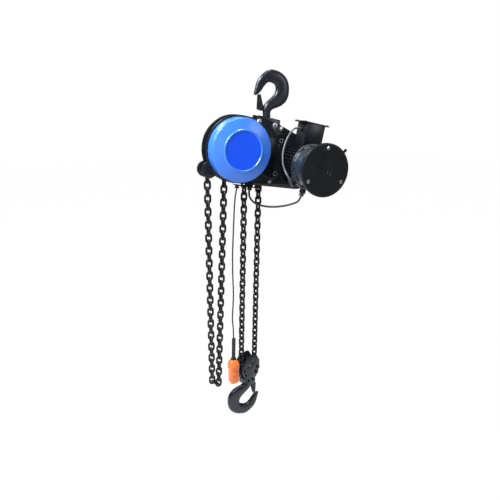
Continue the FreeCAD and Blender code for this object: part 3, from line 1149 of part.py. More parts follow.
LUG_WAY = FreeCAD.Rotation(Y, -LUG_ANGLES[0]).multVec(Z)    # along the ring, at the first lug
LUG_ENTRY = radial(LUG_ANGLES[0], S.shield_r + 11, -S.barrel_front) - LUG_WAY * (11 + 13)
LOOP_WAY = radial(LUG_ANGLES[1], 0, 0) - radial(LUG_ANGLES[1], 1, 0)
LOOP_END = radial(LUG_ANGLES[1], S.shield_r + 20 + 13, -S.barrel_front)


def hung_points(points):
    """Body places (x, y, z) as hung ones."""
    return [(hung_place(x, z)[0], y, hung_place(x, z)[1]) for x, y, z in points]


def cables():
    x, z = EXITS["pendant"], BRACKET_LOW - 13
    first = hung_points([(x, BRACKET_Y, z), (x, BRACKET_Y, z - 40)])
    hx, hz = first[1][0], first[1][2]
    route = first + [(hx - 3, BRACKET_Y, hz - 62), (hx - 6, BRACKET_Y - 1, hz - 150),
                     (hx - 9, BRACKET_Y, hz - 260),
                     (hx - 6, BRACKET_Y + 1, hz - 370), (hx - 1, BRACKET_Y, hz - 455),
                     (hx - 4, BRACKET_Y - 1, hz - 525),
                     (hx - 7, BRACKET_Y, hz - 585),
                     (S.pendant_x, BRACKET_Y, S.pendant_top + S.sleeve_high + 36),
                     (S.pendant_x, BRACKET_Y, S.pendant_top - 11.9)]
    tube("pendant_cable", route, S.cable_r)
    x = S.motor_x - S.box_wide / 2 - 13
    y, z = value(GREY_Y), value(GREY_Z)
    end = LUG_ENTRY
    before = end - LUG_WAY * 24
    grey = [(x, y, z), (x - 22, y - 2, z - 1), (x - 42, y - 7, z - 20), (187, -97, 78), (180, -103, 42),
            (179, -110, 5),
            (185, -119, -28), (196, -130, -52), tuple(before), tuple(end)]
    tube("motor_cable", hung_points(grey), S.grey_cable_r)
    x, z = EXITS["loop"], BRACKET_LOW - 13
    end = LOOP_END
    before = end - LOOP_WAY * 24
    loop = [(x, BRACKET_Y, z), (x + 1, -42, z - 20), (x + 14, -47, z - 41), (x + 40, -59, z - 56),
            (x + 76, -75, z - 58),
            (x + 114, -94, z - 52), (x + 150, -116, z - 38), (x + 178, -134, z - 22), tuple(before),
            tuple(end)]
    tube("brake_cable", hung_points(loop), S.loop_cable_r)


# ---------------------------------------------------------------- build, check and write
for make in (chain, slack_loop, gears, load_sheave, body_plates, covers, stays, bearings_and_pins, motor,
             terminal_box, hooks, yoke, hook_block, pendant, cable_fittings, cables):
    make()
doc.recompute()
bad = [o.Label for o in doc.Objects if {"Invalid", "Error"} & set(o.State)]
bad += [name for name,
        item in nodes.items() if item.Shape.isNull() or not item.Shape.isValid() or not item.Shape.Solids]
if bad:
    raise SystemExit(f"failed: {bad}")
os.makedirs("parts", exist_ok=True)
for name, item in nodes.items():
    item.Shape.exportStep(f"parts/{name}.step")
print(len(nodes), "sub-parts written")
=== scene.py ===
"""Chain hoist: finishes, rounded skins, fasteners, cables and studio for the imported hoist."""

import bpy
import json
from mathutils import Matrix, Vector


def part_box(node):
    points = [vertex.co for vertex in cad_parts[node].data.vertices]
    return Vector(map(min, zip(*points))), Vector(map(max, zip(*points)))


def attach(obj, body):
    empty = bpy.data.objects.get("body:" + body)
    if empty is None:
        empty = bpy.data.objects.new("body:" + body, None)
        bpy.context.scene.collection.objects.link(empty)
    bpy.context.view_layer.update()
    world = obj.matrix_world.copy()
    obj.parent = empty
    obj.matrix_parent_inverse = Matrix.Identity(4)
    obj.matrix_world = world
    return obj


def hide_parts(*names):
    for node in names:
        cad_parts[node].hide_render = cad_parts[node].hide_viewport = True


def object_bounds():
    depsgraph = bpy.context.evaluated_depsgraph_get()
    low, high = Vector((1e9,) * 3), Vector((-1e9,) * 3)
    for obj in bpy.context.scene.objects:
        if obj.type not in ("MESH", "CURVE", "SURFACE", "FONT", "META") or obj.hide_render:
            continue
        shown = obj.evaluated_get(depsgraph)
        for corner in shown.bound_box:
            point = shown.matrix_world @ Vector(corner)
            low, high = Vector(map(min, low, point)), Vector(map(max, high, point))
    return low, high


bl_info = {
    "name": "Chain Hoist",
    "version": (1, 0, 0),
    "blender": (4, 5, 0),
    "location": "View3D > Sidebar > Chain Hoist",
    "description": "Dresses the hoist's fixed frame and sets up its studio",
    "category": "Object",
}

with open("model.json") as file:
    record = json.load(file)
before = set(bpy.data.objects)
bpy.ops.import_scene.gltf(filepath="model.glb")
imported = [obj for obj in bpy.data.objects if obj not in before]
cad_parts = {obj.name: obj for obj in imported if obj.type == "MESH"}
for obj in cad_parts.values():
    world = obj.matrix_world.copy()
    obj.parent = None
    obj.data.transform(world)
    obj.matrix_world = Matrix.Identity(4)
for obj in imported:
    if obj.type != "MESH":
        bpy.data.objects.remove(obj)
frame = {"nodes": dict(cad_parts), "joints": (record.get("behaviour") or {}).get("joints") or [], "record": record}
CAD_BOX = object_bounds()

import json
import math

import bmesh
import bpy
from bpy.props import FloatProperty, FloatVectorProperty, PointerProperty
from mathutils import Matrix, Vector

MM = 0.001
JOINTS = {joint["name"]: joint for joint in frame["joints"]}


def pivot(joint):
    """Where a joint's axis passes, in metres."""
    return Vector(JOINTS[joint]["pos_m"])


# ---------------------------------------------------------------- settings
def colour(name, description, default):
    return FloatVectorProperty(name=name, description=description, default=default, subtype="COLOR", size=3,
                               min=0.0, max=1.0)


def length(name, description, default):
    return FloatProperty(name=name, description=description, default=default, subtype="DISTANCE",
                         unit="LENGTH", min=0.0, precision=4)


def angle(name, description, degrees):
    return FloatProperty(name=name, description=description, default=math.radians(degrees), subtype="ANGLE",
                         unit="ROTATION")


class HoistColours(bpy.types.PropertyGroup):
    cover_rim: colour("Cover rim", "Paint on the side and cone of the gear cover", (0.036, 0.16, 0.62))
    cover_centre: colour("Cover centre", "Paint on the disc in the middle of the gear cover",
                         (0.0016, 0.068, 0.70))
    black_paint: colour("Black paint", "Satin paint on the plates, motor and box", (0.0036, 0.0045, 0.0062))
    # The gloss paint's colour is lighter and bluer than the black paint: a painted reflection of the lamps on the
    # brake housing, over a real gloss.
    gloss_paint_painted_reflection: colour("Gloss paint with painted reflection", "Gloss paint with painted reflection on the brake housing and its end disc",
                        (0.0085, 0.0115, 0.018))
    hook_paint: colour("Hook paint", "Paint on the two forged hooks", (0.0045, 0.0056, 0.0085))
    bolts: colour("Bolts", "Zinc plated fasteners", (0.42, 0.43, 0.45))
    chain: colour("Chain", "Dark oxide on the load chain", (0.016, 0.016, 0.020))
    handset: colour("Handset", "Moulded plastic of the push button handset", (0.86, 0.155, 0.028))
    grey_cable: colour("Grey cable", "Sheath of the motor cable", (0.10, 0.11, 0.125))
    black_cable: colour("Black cable", "Sheath of the handset and brake cables", (0.006, 0.006, 0.007))


class HoistSizes(bpy.types.PropertyGroup):
    hang_angle: angle("Hang angle", "How far the body hangs turned from level", 11.0)
    cover_radius: length("Cover radius", "Outer radius of the gear cover", 0.138)
    cover_front: length("Cover front", "How far the gear cover stands in front of the middle", 0.098)
    cover_disc: length("Cover disc", "Radius of the raised lip on the gear cover", 0.088)
    edge_round: length("Edge rounding", "Rounding on the edges of castings and pressings", 0.0015)
    paint_grain: length("Paint grain", "Size of the orange peel in the paint", 0.003)


class HoistStudio(bpy.types.PropertyGroup):
    camera_place: FloatVectorProperty(name="Camera place", description="Where the camera stands",
                                      subtype="XYZ",
                                      unit="LENGTH", default=(-1.051, -2.103, -0.064), size=3)
    camera_turn: angle("Camera turn", "Heading of the camera about the vertical", -25.0)
    camera_pitch: angle("Camera pitch", "How far the camera looks down", 16.5)
    camera_roll: angle("Camera roll", "Tilt of the camera about its own axis", 1.2)
    lens: FloatProperty(name="Lens", description="Focal length in millimetres", default=37.08, min=10.0,
                        max=200.0)
    block_turn: angle("Block turn", "How far the hook block hangs turned about the vertical", 20.0)
    floor_gap: length("Floor gap", "How far the hoist hangs above the floor", 0.40)


# ---------------------------------------------------------------- places
def colours():
    return bpy.context.scene.hoist_colours


def sizes():
    return bpy.context.scene.hoist_sizes


def body_axes(joint="sheave_spin"):
    """The hoist body's own axes, in millimetres, from one of its shafts."""
    turn = Matrix.Rotation(sizes().hang_angle, 4, "Y")
    return Matrix.Translation(pivot(joint)) @ turn @ Matrix.Scale(MM, 4)


def hung_axes(joint="sheave_spin", turn=0.0):
    """Upright axes, in millimetres, from a joint."""
    return Matrix.Translation(pivot(joint)) @ Matrix.Rotation(turn, 4, "Z") @ Matrix.Scale(MM, 4)


# ---------------------------------------------------------------- mesh helpers
def rounded(points, radius, steps=4):
    """An open outline with its inner corners rounded.  A point may carry a radius of its own."""
    result = [Vector(points[0][:2])]
    for before, corner, after in zip(points, points[1:], points[2:]):
        here = Vector(corner[:2])
        back, ahead = Vector(before[:2]) - here, Vector(after[:2]) - here
        wanted = corner[2] if len(corner) > 2 else radius
        half = back.angle(ahead) / 2
        if wanted <= 0 or half > math.radians(89):
            result.append(here)
            continue
        run = min(wanted / math.tan(half), 0.48 * back.length, 0.48 * ahead.length)
        first, last = here + back.normalized() * run, here + ahead.normalized() * run
        for k in range(steps + 1):
            t = k / steps
            result.append(first.lerp(here, t).lerp(here.lerp(last, t), t))
    result.append(Vector(points[-1][:2]))
    return result


def ring_wall(form, rings, closed=True, cap_first=False, cap_last=False):
    """Joins rings of vertices into a wall, with a flat cap on either end where asked."""
    made = [[form.verts.new(p) for p in ring] for ring in rings]
    for a, b in zip(made, made[1:]):
        for k in range(len(a) if closed else len(a) - 1):
            n = (k + 1) % len(a)
            form.faces.new((a[k], a[n], b[n], b[k]))
    if cap_first:
        form.faces.new(list(reversed(made[0])))
    if cap_last:
        form.faces.new(made[-1])
    return made


def add_turned(form, profile, centre=(0.0, 0.0), segments=96, slot=None):
    """A body of revolution about an axis along Y, from (radius, distance in front of the middle)."""
    count = segments
    old = set(form.faces)
    previous = None
    for r, front in profile:
        if r < 1e-6:
            current = [form.verts.new((centre[0], -front, centre[1]))]
        else:
            current = [form.verts.new((x, -front, z)) for x, z in polygon(r, count, centre)]
        if previous is not None:
            join_rings(form, previous, current)
        previous = current
    if slot is not None:
        for face in set(form.faces) - old:
            face.material_index = slot
    return form


def join_rings(form, a, b):
    if len(a) == 1 and len(b) == 1:
        return
    count = max(len(a), len(b))
    for k in range(count):
        n = (k + 1) % count
        corners = [a[k % len(a)], b[k % len(b)], b[n % len(b)], a[n % len(a)]]
        form.faces.new([v for i, v in enumerate(corners) if v not in corners[:i]])


def add_prism(form, outline, front, back, top_round=0.0, steps=3):
    """A slab cut to an outline of (x, z), from `back` to `front` in front of the middle."""
    middle = sum((Vector(p) for p in outline), Vector((0, 0))) / len(outline)
    rings = [[(p[0], -back, p[1]) for p in outline]]
    if top_round <= 0:
        rings.append([(p[0], -front, p[1]) for p in outline])
    else:
        for k in range(steps + 1):
            a = math.pi / 2 * k / steps
            inset = top_round * (1 - math.cos(a))
            height = front - top_round * (1 - math.sin(a))
            ring = []
            for p in outline:
                away = Vector(p) - middle
                moved = middle + away * max(0.0, 1 - inset / max(away.length, 1e-6))
                ring.append((moved.x, -height, moved.y))
            rings.append(ring)
    ring_wall(form, rings, cap_first=True, cap_last=True)


def polygon(radius, count, centre, phase=0.0):
    return [(centre[0] + radius * math.cos(phase + 2 * math.pi * k / count),
             centre[1] + radius * math.sin(phase + 2 * math.pi * k / count)) for k in range(count)]


def add_hex(form, centre, corner_radius, back, front, phase=0.0):
    """A hexagon nut or head with its corners turned down."""
    outline = polygon(corner_radius, 6, centre, phase)
    rings = [[(x, -back, z) for x, z in outline],
             [(x, -(front - 0.18 * corner_radius), z) for x, z in outline]]
    inner = polygon(0.80 * corner_radius, 6, centre, phase)
    rings.append([(x, -front, z) for x, z in inner])
    ring_wall(form, rings, cap_first=True, cap_last=True)


def add_socket_head(form, centre, radius, back, front):
    """A cap screw's head with a hexagon socket in it."""
    edge = 0.12 * radius
    profile = rounded([(radius, back), (radius, front), (0.62 * radius, front)], edge)
    add_turned(form, [(0.0, back), (radius, back)] + profile[1:], centre, 32)
    depth = 0.55 * (front - back)
    socket = polygon(0.56 * radius, 6, centre, 0.3)
    wall = [[(x, -front - 0.02, z) for x, z in polygon(0.62 * radius, 24, centre)],
            [(x, -front - 0.02, z) for x, z in hexagon_at(socket, 24, 0.3, centre)],
            [(x, -(front - depth), z) for x, z in hexagon_at(socket, 24, 0.3, centre)]]
    ring_wall(form, wall, cap_last=True)


def hexagon_at(corners, count, phase, centre):
    """`count` places round a hexagon, evenly by angle."""
    places = []
    flat = math.cos(math.pi / 6)
    radius = math.dist(corners[0], centre)
    for k in range(count):
        a = 2 * math.pi * k / count
        within = (a - phase + math.pi / 6) % (math.pi / 3) - math.pi / 6
        reach = radius * flat / math.cos(abs(within) - math.pi / 6)
        places.append((centre[0] + reach * math.cos(a), centre[1] + reach * math.sin(a)))
    return places


def finished(form, name, axes, body, finish_list, replaces=(), smooth=35.0, bevel=0.0):
    """Turns a form, drawn in millimetres, into a piece that rides on a body."""
    bmesh.ops.recalc_face_normals(form, faces=form.faces)
    mesh = bpy.data.meshes.new(name)
    form.to_mesh(mesh)
    form.free()
    mesh.transform(axes)
    piece = bpy.data.objects.new(name, mesh)
    bpy.context.scene.collection.objects.link(piece)
    if bevel:
        rounding = piece.modifiers.new("Rounding", "BEVEL")
        rounding.width = bevel
        rounding.segments = 2
        rounding.limit_method = "ANGLE"
        rounding.angle_limit = math.radians(40)
        apply_modifiers(piece)
    piece.data.shade_smooth()
    piece.data.set_sharp_from_angle(angle=math.radians(smooth))
    for one in finish_list:
        piece.data.materials.append(one)
    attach(piece, body)
    if replaces:
        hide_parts(*replaces)
    return piece


def apply_modifiers(piece):
    graph = bpy.context.evaluated_depsgraph_get()
    graph.update()
    solid = bpy.data.meshes.new_from_object(piece.evaluated_get(graph))
    old = piece.data
    piece.modifiers.clear()
    piece.data = solid
    bpy.data.meshes.remove(old)


# ---------------------------------------------------------------- finishes
def finish(name, base, other=None, rough=(0.35, 0.5), metallic=0.0, patch=0.03, grain=0.002, bump=0.1,
           coat=0.0, coat_rough=0.1, specular=0.5, contrast=(0.35, 0.65)):
    """A finish with patches of two colours, uneven gloss and a fine grain.

    `patch` and `grain` are the sizes in metres of the colour patches and of the relief."""
    if name in bpy.data.materials:
        return bpy.data.materials[name]
    other = other or tuple(c * 1.35 + 0.002 for c in base)
    material = bpy.data.materials.new(name)
    material.use_nodes = True
    material.diffuse_color = (*base, 1.0)
    tree = material.node_tree
    shader = tree.nodes["Principled BSDF"]
    shader.inputs["Metallic"].default_value = metallic
    shader.inputs["Coat Weight"].default_value = coat
    shader.inputs["Coat Roughness"].default_value = coat_rough
    shader.inputs["Specular IOR Level"].default_value = specular
    place = tree.nodes.new("ShaderNodeTexCoord")
    patches = noise(tree, place, 1 / patch, 4.0, 0.6)
    colours_ramp = tree.nodes.new("ShaderNodeValToRGB")
    colours_ramp.color_ramp.elements[0].position = contrast[0]
    colours_ramp.color_ramp.elements[1].position = contrast[1]
    colours_ramp.color_ramp.elements[0].color = (*base, 1.0)
    colours_ramp.color_ramp.elements[1].color = (*other, 1.0)
    tree.links.new(patches.outputs["Fac"], colours_ramp.inputs["Fac"])
    tree.links.new(colours_ramp.outputs["Color"], shader.inputs["Base Color"])
    gloss = noise(tree, place, 2.3 / patch, 6.0, 0.55)
    spread = tree.nodes.new("ShaderNodeMapRange")
    spread.inputs["From Min"].default_value = 0.3
    spread.inputs["From Max"].default_value = 0.7
    spread.inputs["To Min"].default_value = rough[0]
    spread.inputs["To Max"].default_value = rough[1]
    tree.links.new(gloss.outputs["Fac"], spread.inputs["Value"])
    tree.links.new(spread.outputs["Result"], shader.inputs["Roughness"])
    relief = noise(tree, place, 1 / grain, 3.0, 0.5)
    lift = tree.nodes.new("ShaderNodeBump")
    lift.inputs["Strength"].default_value = bump
    lift.inputs["Distance"].default_value = grain * 0.25
    tree.links.new(relief.outputs["Fac"], lift.inputs["Height"])
    tree.links.new(lift.outputs["Normal"], shader.inputs["Normal"])
    return material


def noise(tree, place, scale, detail, roughness):
    node = tree.nodes.new("ShaderNodeTexNoise")
    node.inputs["Scale"].default_value = scale
    node.inputs["Detail"].default_value = detail
    node.inputs["Roughness"].default_value = roughness
    tree.links.new(place.outputs["Object"], node.inputs["Vector"])
    return node


def black_paint():
    return finish("SatinBlackPaint", tuple(colours().black_paint), rough=(0.26, 0.42), patch=0.06,
                  grain=sizes().paint_grain, bump=0.20, coat=0.15, coat_rough=0.18, specular=0.4)


# Real gloss and coat, with a base colour lightened and blued as a painted reflection.
def gloss_paint_painted_reflection():
    return finish("GlossBlackPaintedReflection", tuple(colours().gloss_paint_painted_reflection), rough=(0.26, 0.36), patch=0.08,
                  grain=sizes().paint_grain, bump=0.10, coat=0.7, coat_rough=0.22, specular=0.6)


def disc_paint():
    return finish("EndDiscPaint", (0.004, 0.0045, 0.0056), (0.006, 0.0064, 0.0075), rough=(0.34, 0.46),
                  patch=0.05,
                  grain=sizes().paint_grain, bump=0.10, coat=0.05, coat_rough=0.2, specular=0.26)


def cover_rim_paint():
    base = tuple(colours().cover_rim)
    return finish("CoverRimPaint", base, tuple(c * 1.08 for c in base), rough=(0.26, 0.34), patch=0.09,
                  grain=sizes().paint_grain, bump=0.06, coat=0.35, coat_rough=0.12)


def cover_centre_paint():
    base = tuple(colours().cover_centre)
    return finish("CoverCentrePaint", base, tuple(c * 1.12 for c in base), rough=(0.30, 0.40), patch=0.07,
                  grain=sizes().paint_grain, bump=0.06, coat=0.30, coat_rough=0.16)


def forged_paint():
    return finish("ForgedHookPaint", tuple(colours().hook_paint), rough=(0.24, 0.42), patch=0.025,
                  grain=0.007, bump=0.5, coat=0.15, coat_rough=0.2, specular=0.45)


def zinc():
    base = tuple(colours().bolts)
    return finish("ZincPlate", base, tuple(c * 0.72 for c in base), rough=(0.26, 0.42), metallic=0.95,
                  patch=0.012, grain=0.0012, bump=0.12)


def dark_steel():
    return finish("DarkPlatedSteel", (0.03, 0.032, 0.036), (0.06, 0.06, 0.062), rough=(0.32, 0.48),
                  metallic=0.9, patch=0.02, grain=0.0016, bump=0.15)


def machined_steel():
    return finish("MachinedSteel", (0.36, 0.36, 0.38), (0.26, 0.26, 0.27), rough=(0.24, 0.38),
                  metallic=0.95, patch=0.018, grain=0.001, bump=0.1)


def chain_steel():
    base = tuple(colours().chain)
    return finish("ChainOxide", base, (base[0] * 1.9, base[1] * 1.5, base[2] * 1.1), rough=(0.26, 0.42),
                  metallic=0.6, patch=0.016, grain=0.002, bump=0.2)


def cast_iron():
    return finish("CastIron", (0.02, 0.02, 0.023), (0.035, 0.034, 0.034), rough=(0.45, 0.62), metallic=0.7,
                  patch=0.02, grain=0.0025, bump=0.35)


def winding():
    return finish("LaminatedCore", (0.20, 0.14, 0.09), (0.34, 0.20, 0.10), rough=(0.35, 0.55), metallic=0.6,
                  patch=0.008, grain=0.001, bump=0.3)


def handset_plastic():
    base = tuple(colours().handset)
    return finish("HandsetPlastic", base, (base[0], base[1] * 1.25, base[2] * 1.5), rough=(0.30, 0.42),
                  patch=0.03, grain=0.0008, bump=0.12, coat=0.1)


def button_plastic():
    return finish("ButtonPlastic", (0.55, 0.13, 0.03), (0.66, 0.18, 0.04), rough=(0.40, 0.52), patch=0.012,
                  grain=0.0007, bump=0.15)


def rubber():
    return finish("BlackRubber", tuple(colours().black_cable), rough=(0.48, 0.62), patch=0.02, grain=0.0009,
                  bump=0.2)


def grey_sheath():
    base = tuple(colours().grey_cable)
    return finish("GreySheath", base, tuple(c * 0.82 for c in base), rough=(0.42, 0.55), patch=0.02,
                  grain=0.0009, bump=0.12)


def gland_plastic():
    return finish("GlandNylon", (0.02, 0.02, 0.022), rough=(0.36, 0.48), patch=0.01, grain=0.0008,
                  bump=0.15)


FINISHES = {
    "black_paint": black_paint, "black_gloss": gloss_paint_painted_reflection, "blue_paint": cover_rim_paint,
    "hook_paint": forged_paint, "latch_steel": dark_steel, "bolt_steel": zinc, "gear_steel": machined_steel,
    "chain_steel": chain_steel, "sheave_iron": cast_iron, "stator_steel": winding,
    "orange_plastic": handset_plastic, "button_plastic": button_plastic, "black_rubber": rubber,
    "grey_rubber": grey_sheath, "gland_plastic": gland_plastic,
}


PAINTED_OVER = ("swing_pin", "anchor_pins", "cover_screws", "block_axle", "block_bolts")


class HOIST_OT_finishes(bpy.types.Operator):
    """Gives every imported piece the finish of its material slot"""

    bl_idname = "hoist.finishes"
    bl_label = "Finishes"

    def execute(self, context):
        slots = {part["node"]: part["material_slot"] for part in frame["record"]["subparts"]}
        for name, item in frame["nodes"].items():
            chosen = black_paint if name in PAINTED_OVER else FINISHES[slots[name]]
            item.data.materials.clear()
            item.data.materials.append(chosen())
        return {"FINISHED"}


# ---------------------------------------------------------------- cables
def cable(name, points, radius, material, body, node):
    """A cable on a smooth spline."""
    data = bpy.data.curves.new(name, "CURVE")
    data.dimensions = "3D"
    spline = data.splines.new("NURBS")
    spline.points.add(len(points) - 1)
    for control, place in zip(spline.points, points):
        control.co = (*place, 1.0)
    spline.order_u = 3
    spline.use_endpoint_u = True
    data.resolution_u = 10
    data.bevel_depth = radius
    data.bevel_resolution = 6
    data.use_fill_caps = True
    data.materials.append(material)
    piece = bpy.data.objects.new(name, data)
    bpy.context.scene.collection.objects.link(piece)
    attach(piece, body)
    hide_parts(node)
    return piece


def handset_route():
    """The handset cable, straight down from its gland and into the sleeve, from the sheave's axis."""
    hung, body = hung_axes(), body_axes()
    exit_place = body @ Vector((24, -40, -165))
    second = hung.inverted() @ (body @ Vector((24, -40, -205)))
    x, z = second.x, second.z
    run = [(x, -40, z), (x - 3, -40, z - 62), (x - 6, -41, z - 150), (x - 9, -40, z - 260),
           (x - 6, -39, z - 370),
           (x - 1, -40, z - 455), (x - 4, -41, z - 525), (x - 7, -40, z - 585), (-13, -40, -854),
           (-13, -40, -1011.9)]
    return [exit_place] + [hung @ Vector(p) for p in run]


def motor_cable_route():
    """The grey cable from the terminal box down the fins to the first lug."""
    body = body_axes()
    return [body @ Vector(p) for p in (
        (249, -84, 142), (227, -86, 141), (207, -91, 122), (187, -97, 78), (180, -103, 42), (179, -110, 5),
        (185, -119, -28), (196, -130, -52), (198.295, -148, -66.035), (216.408, -148, -81.782))]


def brake_cable_route():
    """The black cable that loops below the body from the bracket to the second lug."""
    body = body_axes()
    return [body @ Vector(p) for p in (
        (86, -40, -165), (87, -42, -185), (100, -47, -206), (126, -59, -221), (162, -75, -223),
        (200, -94, -217),
        (236, -116, -203), (264, -134, -187), (286.009, -148, -169.468), (289.35, -148, -145.7))]


# Radius and whole length of each cable, in metres.
HANDSET_CABLE_R, HANDSET_CABLE_LONG = 0.0032, 0.847
MOTOR_CABLE_R, MOTOR_CABLE_LONG = 0.0042, 0.280
BRAKE_CABLE_R, BRAKE_CABLE_LONG = 0.0045, 0.294


class HOIST_OT_cables(bpy.types.Operator):
    """Lays the handset, motor and brake cables"""

    bl_idname = "hoist.cables"
    bl_label = "Cables"

    def execute(self, context):
        cable("HandsetCable", handset_route(), HANDSET_CABLE_R, rubber(), "frame", "pendant_cable")
        cable("MotorCable", motor_cable_route(), MOTOR_CABLE_R, grey_sheath(), "frame", "motor_cable")
        cable("BrakeCable", brake_cable_route(), BRAKE_CABLE_R, rubber(), "frame", "brake_cable")
        return {"FINISHED"}


# ---------------------------------------------------------------- camera and studio
class HOIST_OT_camera(bpy.types.Operator):
    """Stands the camera in front of the hoist, to its left"""

    bl_idname = "hoist.camera"
    bl_label = "Camera"

    def execute(self, context):
        studio = context.scene.hoist_studio
        turn, pitch, roll = studio.camera_turn, studio.camera_pitch, studio.camera_roll
        ahead = Vector((-math.sin(turn), math.cos(turn), 0))
        right = Vector((math.cos(turn), math.sin(turn), 0))
        look = ahead * math.cos(pitch) - Vector((0, 0, math.sin(pitch)))
        up = ahead * math.sin(pitch) + Vector((0, 0, math.cos(pitch)))
        rolled_right = right * math.cos(roll) + up * math.sin(roll)
        rolled_up = up * math.cos(roll) - right * math.sin(roll)
        axes = Matrix((rolled_right, rolled_up, -look)).transposed().to_4x4()
        data = bpy.data.cameras.new("Camera")
        data.lens = studio.lens
        data.sensor_width = 36.0
        data.clip_end = 100.0
        camera = bpy.data.objects.new("Camera", data)
        camera.matrix_world = Matrix.Translation(Vector(studio.camera_place)) @ axes
        context.scene.collection.objects.link(camera)
        context.scene.camera = camera
        return {"FINISHED"}


def lamp(name, place, target, size, power, tint=(1.0, 1.0, 1.0)):
    data = bpy.data.lights.new(name, "AREA")
    data.shape = "RECTANGLE"
    data.size, data.size_y = size
    data.energy = power
    data.color = tint
    item = bpy.data.objects.new(name, data)
    item.location = place
    item.rotation_euler = (Vector(target) - Vector(place)).to_track_quat("-Z", "Y").to_euler()
    bpy.context.scene.collection.objects.link(item)


def camera_only(tree, seen, lit, strength_seen):
    """Mixes what the camera sees directly with what lights the object."""
    ray = tree.nodes.new("ShaderNodeLightPath")
    mix = tree.nodes.new("ShaderNodeMixShader")
    scale = tree.nodes.new("ShaderNodeMath")
    scale.operation = "MULTIPLY"
    scale.inputs[1].default_value = strength_seen
    tree.links.new(ray.outputs["Is Camera Ray"], scale.inputs[0])
    tree.links.new(scale.outputs["Value"], mix.inputs["Fac"])
    tree.links.new(lit.outputs[0], mix.inputs[1])
    tree.links.new(seen.outputs[0], mix.inputs[2])
    return mix


class HOIST_OT_stage(bpy.types.Operator):
    """Adds the pale floor, the white surround and the soft lamps"""

    bl_idname = "hoist.stage"
    bl_label = "Stage"

    def execute(self, context):
        low = CAD_BOX[0][2] - context.scene.hoist_studio.floor_gap
        form = bmesh.new()
        bmesh.ops.create_grid(form, x_segments=1, y_segments=1, size=14.0)
        mesh = bpy.data.meshes.new("Floor")
        form.to_mesh(mesh)
        form.free()
        floor = bpy.data.objects.new("Floor", mesh)
        floor.location = (0, 0, low)
        context.scene.collection.objects.link(floor)
        mesh.materials.append(self.floor_finish())
        self.surround(context)
        lamp("Key", (-2.1, -1.8, 2.4), (-0.1, 0, -0.3), (1.0, 0.8), 165, (0.94, 0.97, 1.0))
        lamp("Left", (-1.9, -0.3, 1.3), (0.05, -0.1, -0.2), (0.8, 1.6), 125, (0.82, 0.91, 1.0))
        lamp("Fill", (2.2, -2.6, 0.6), (0.1, 0, -0.4), (1.0, 1.4), 15, (0.94, 0.97, 1.0))
        lamp("Top", (0.3, 0.1, 2.2), (0, 0, -0.3), (1.0, 0.6), 46, (0.9, 0.95, 1.0))
        lamp("Back", (-0.6, 2.5, 1.6), (0.05, 0, -0.4), (1.2, 1.2), 32, (0.9, 0.95, 1.0))
        lamp("Front", (-1.0, -3.0, -0.4), (-0.05, 0, -0.7), (0.9, 1.6), 4)
        context.scene.view_settings.view_transform = "Standard"
        return {"FINISHED"}

    def floor_finish(self):
        material = bpy.data.materials.new("PaleFloor")
        material.use_nodes = True
        tree = material.node_tree
        tree.nodes.clear()
        lit = tree.nodes.new("ShaderNodeBsdfDiffuse")
        lit.inputs["Color"].default_value = (0.86, 0.86, 0.86, 1.0)
        seen = tree.nodes.new("ShaderNodeEmission")
        output = tree.nodes.new("ShaderNodeOutputMaterial")
        seen.inputs["Strength"].default_value = 1.03
        mix = camera_only(tree, seen, lit, 0.96)
        tree.links.new(mix.outputs["Shader"], output.inputs["Surface"])
        return material

    def surround(self, context):
        world = bpy.data.worlds.new("Surround")
        world.use_nodes = True
        tree = world.node_tree
        tree.nodes.clear()
        lit = tree.nodes.new("ShaderNodeBackground")
        lit.inputs["Color"].default_value = (0.135, 0.15, 0.18, 1.0)
        seen = tree.nodes.new("ShaderNodeBackground")
        seen.inputs["Color"].default_value = (1.0, 1.0, 1.0, 1.0)
        output = tree.nodes.new("ShaderNodeOutputWorld")
        mix = camera_only(tree, seen, lit, 1.0)
        tree.links.new(mix.outputs["Shader"], output.inputs["Surface"])
        context.scene.world = world


# ---------------------------------------------------------------- gear cover
class HOIST_OT_cover(bpy.types.Operator):
    """Spins the rounded gear cover with its raised lip and two blues"""

    bl_idname = "hoist.cover"
    bl_label = "Gear cover"

    def execute(self, context):
        size = sizes()
        r, front, lip = (v / MM for v in (size.cover_radius, size.cover_front, size.cover_disc))
        rim = rounded([(r, 30.2), (r, 31, 0), (r, front - 24, 3), (r - 3.5, front - 22.5, 1),
                       (r - 3.5, front - 15, 4),
                       (lip + 3, front - 4.5, 2), (lip + 0.5, front, 1.5), (lip - 4, front, 2),
                       (lip - 7, front - 4)], 2.0, 6)
        centre = rounded([(lip - 7, front - 4), (lip - 16, front - 4.2, 4), (12, front - 3.4, 4),
                          (0, front - 3.4)], 3, 3)
        inside = [(0, front - 9), (lip, front - 9), (r - 6, front - 24), (r - 6, 30.2), (r, 30.2)]
        form = bmesh.new()
        add_turned(form, rim, segments=160, slot=0)
        add_turned(form, centre, segments=160, slot=1)
        add_turned(form, inside, segments=160, slot=0)
        bmesh.ops.remove_doubles(form, verts=form.verts, dist=0.001)
        finished(form, "GearCoverSkin", body_axes(), "frame", [cover_rim_paint(), cover_centre_paint()],
                 ["gear_cover"], smooth=30)
        return {"FINISHED"}


# ---------------------------------------------------------------- plates and castings
def softened(node, body, width, material):
    """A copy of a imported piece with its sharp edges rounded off."""
    form = bmesh.new()
    form.from_mesh(frame["nodes"][node].data)
    bmesh.ops.remove_doubles(form, verts=form.verts, dist=1e-6)
    bmesh.ops.dissolve_limit(form, angle_limit=math.radians(0.5), verts=form.verts, edges=form.edges)
    return finished(form, "Soft_" + node, Matrix.Identity(4), body, [material], [node], smooth=32,
                    bevel=width)


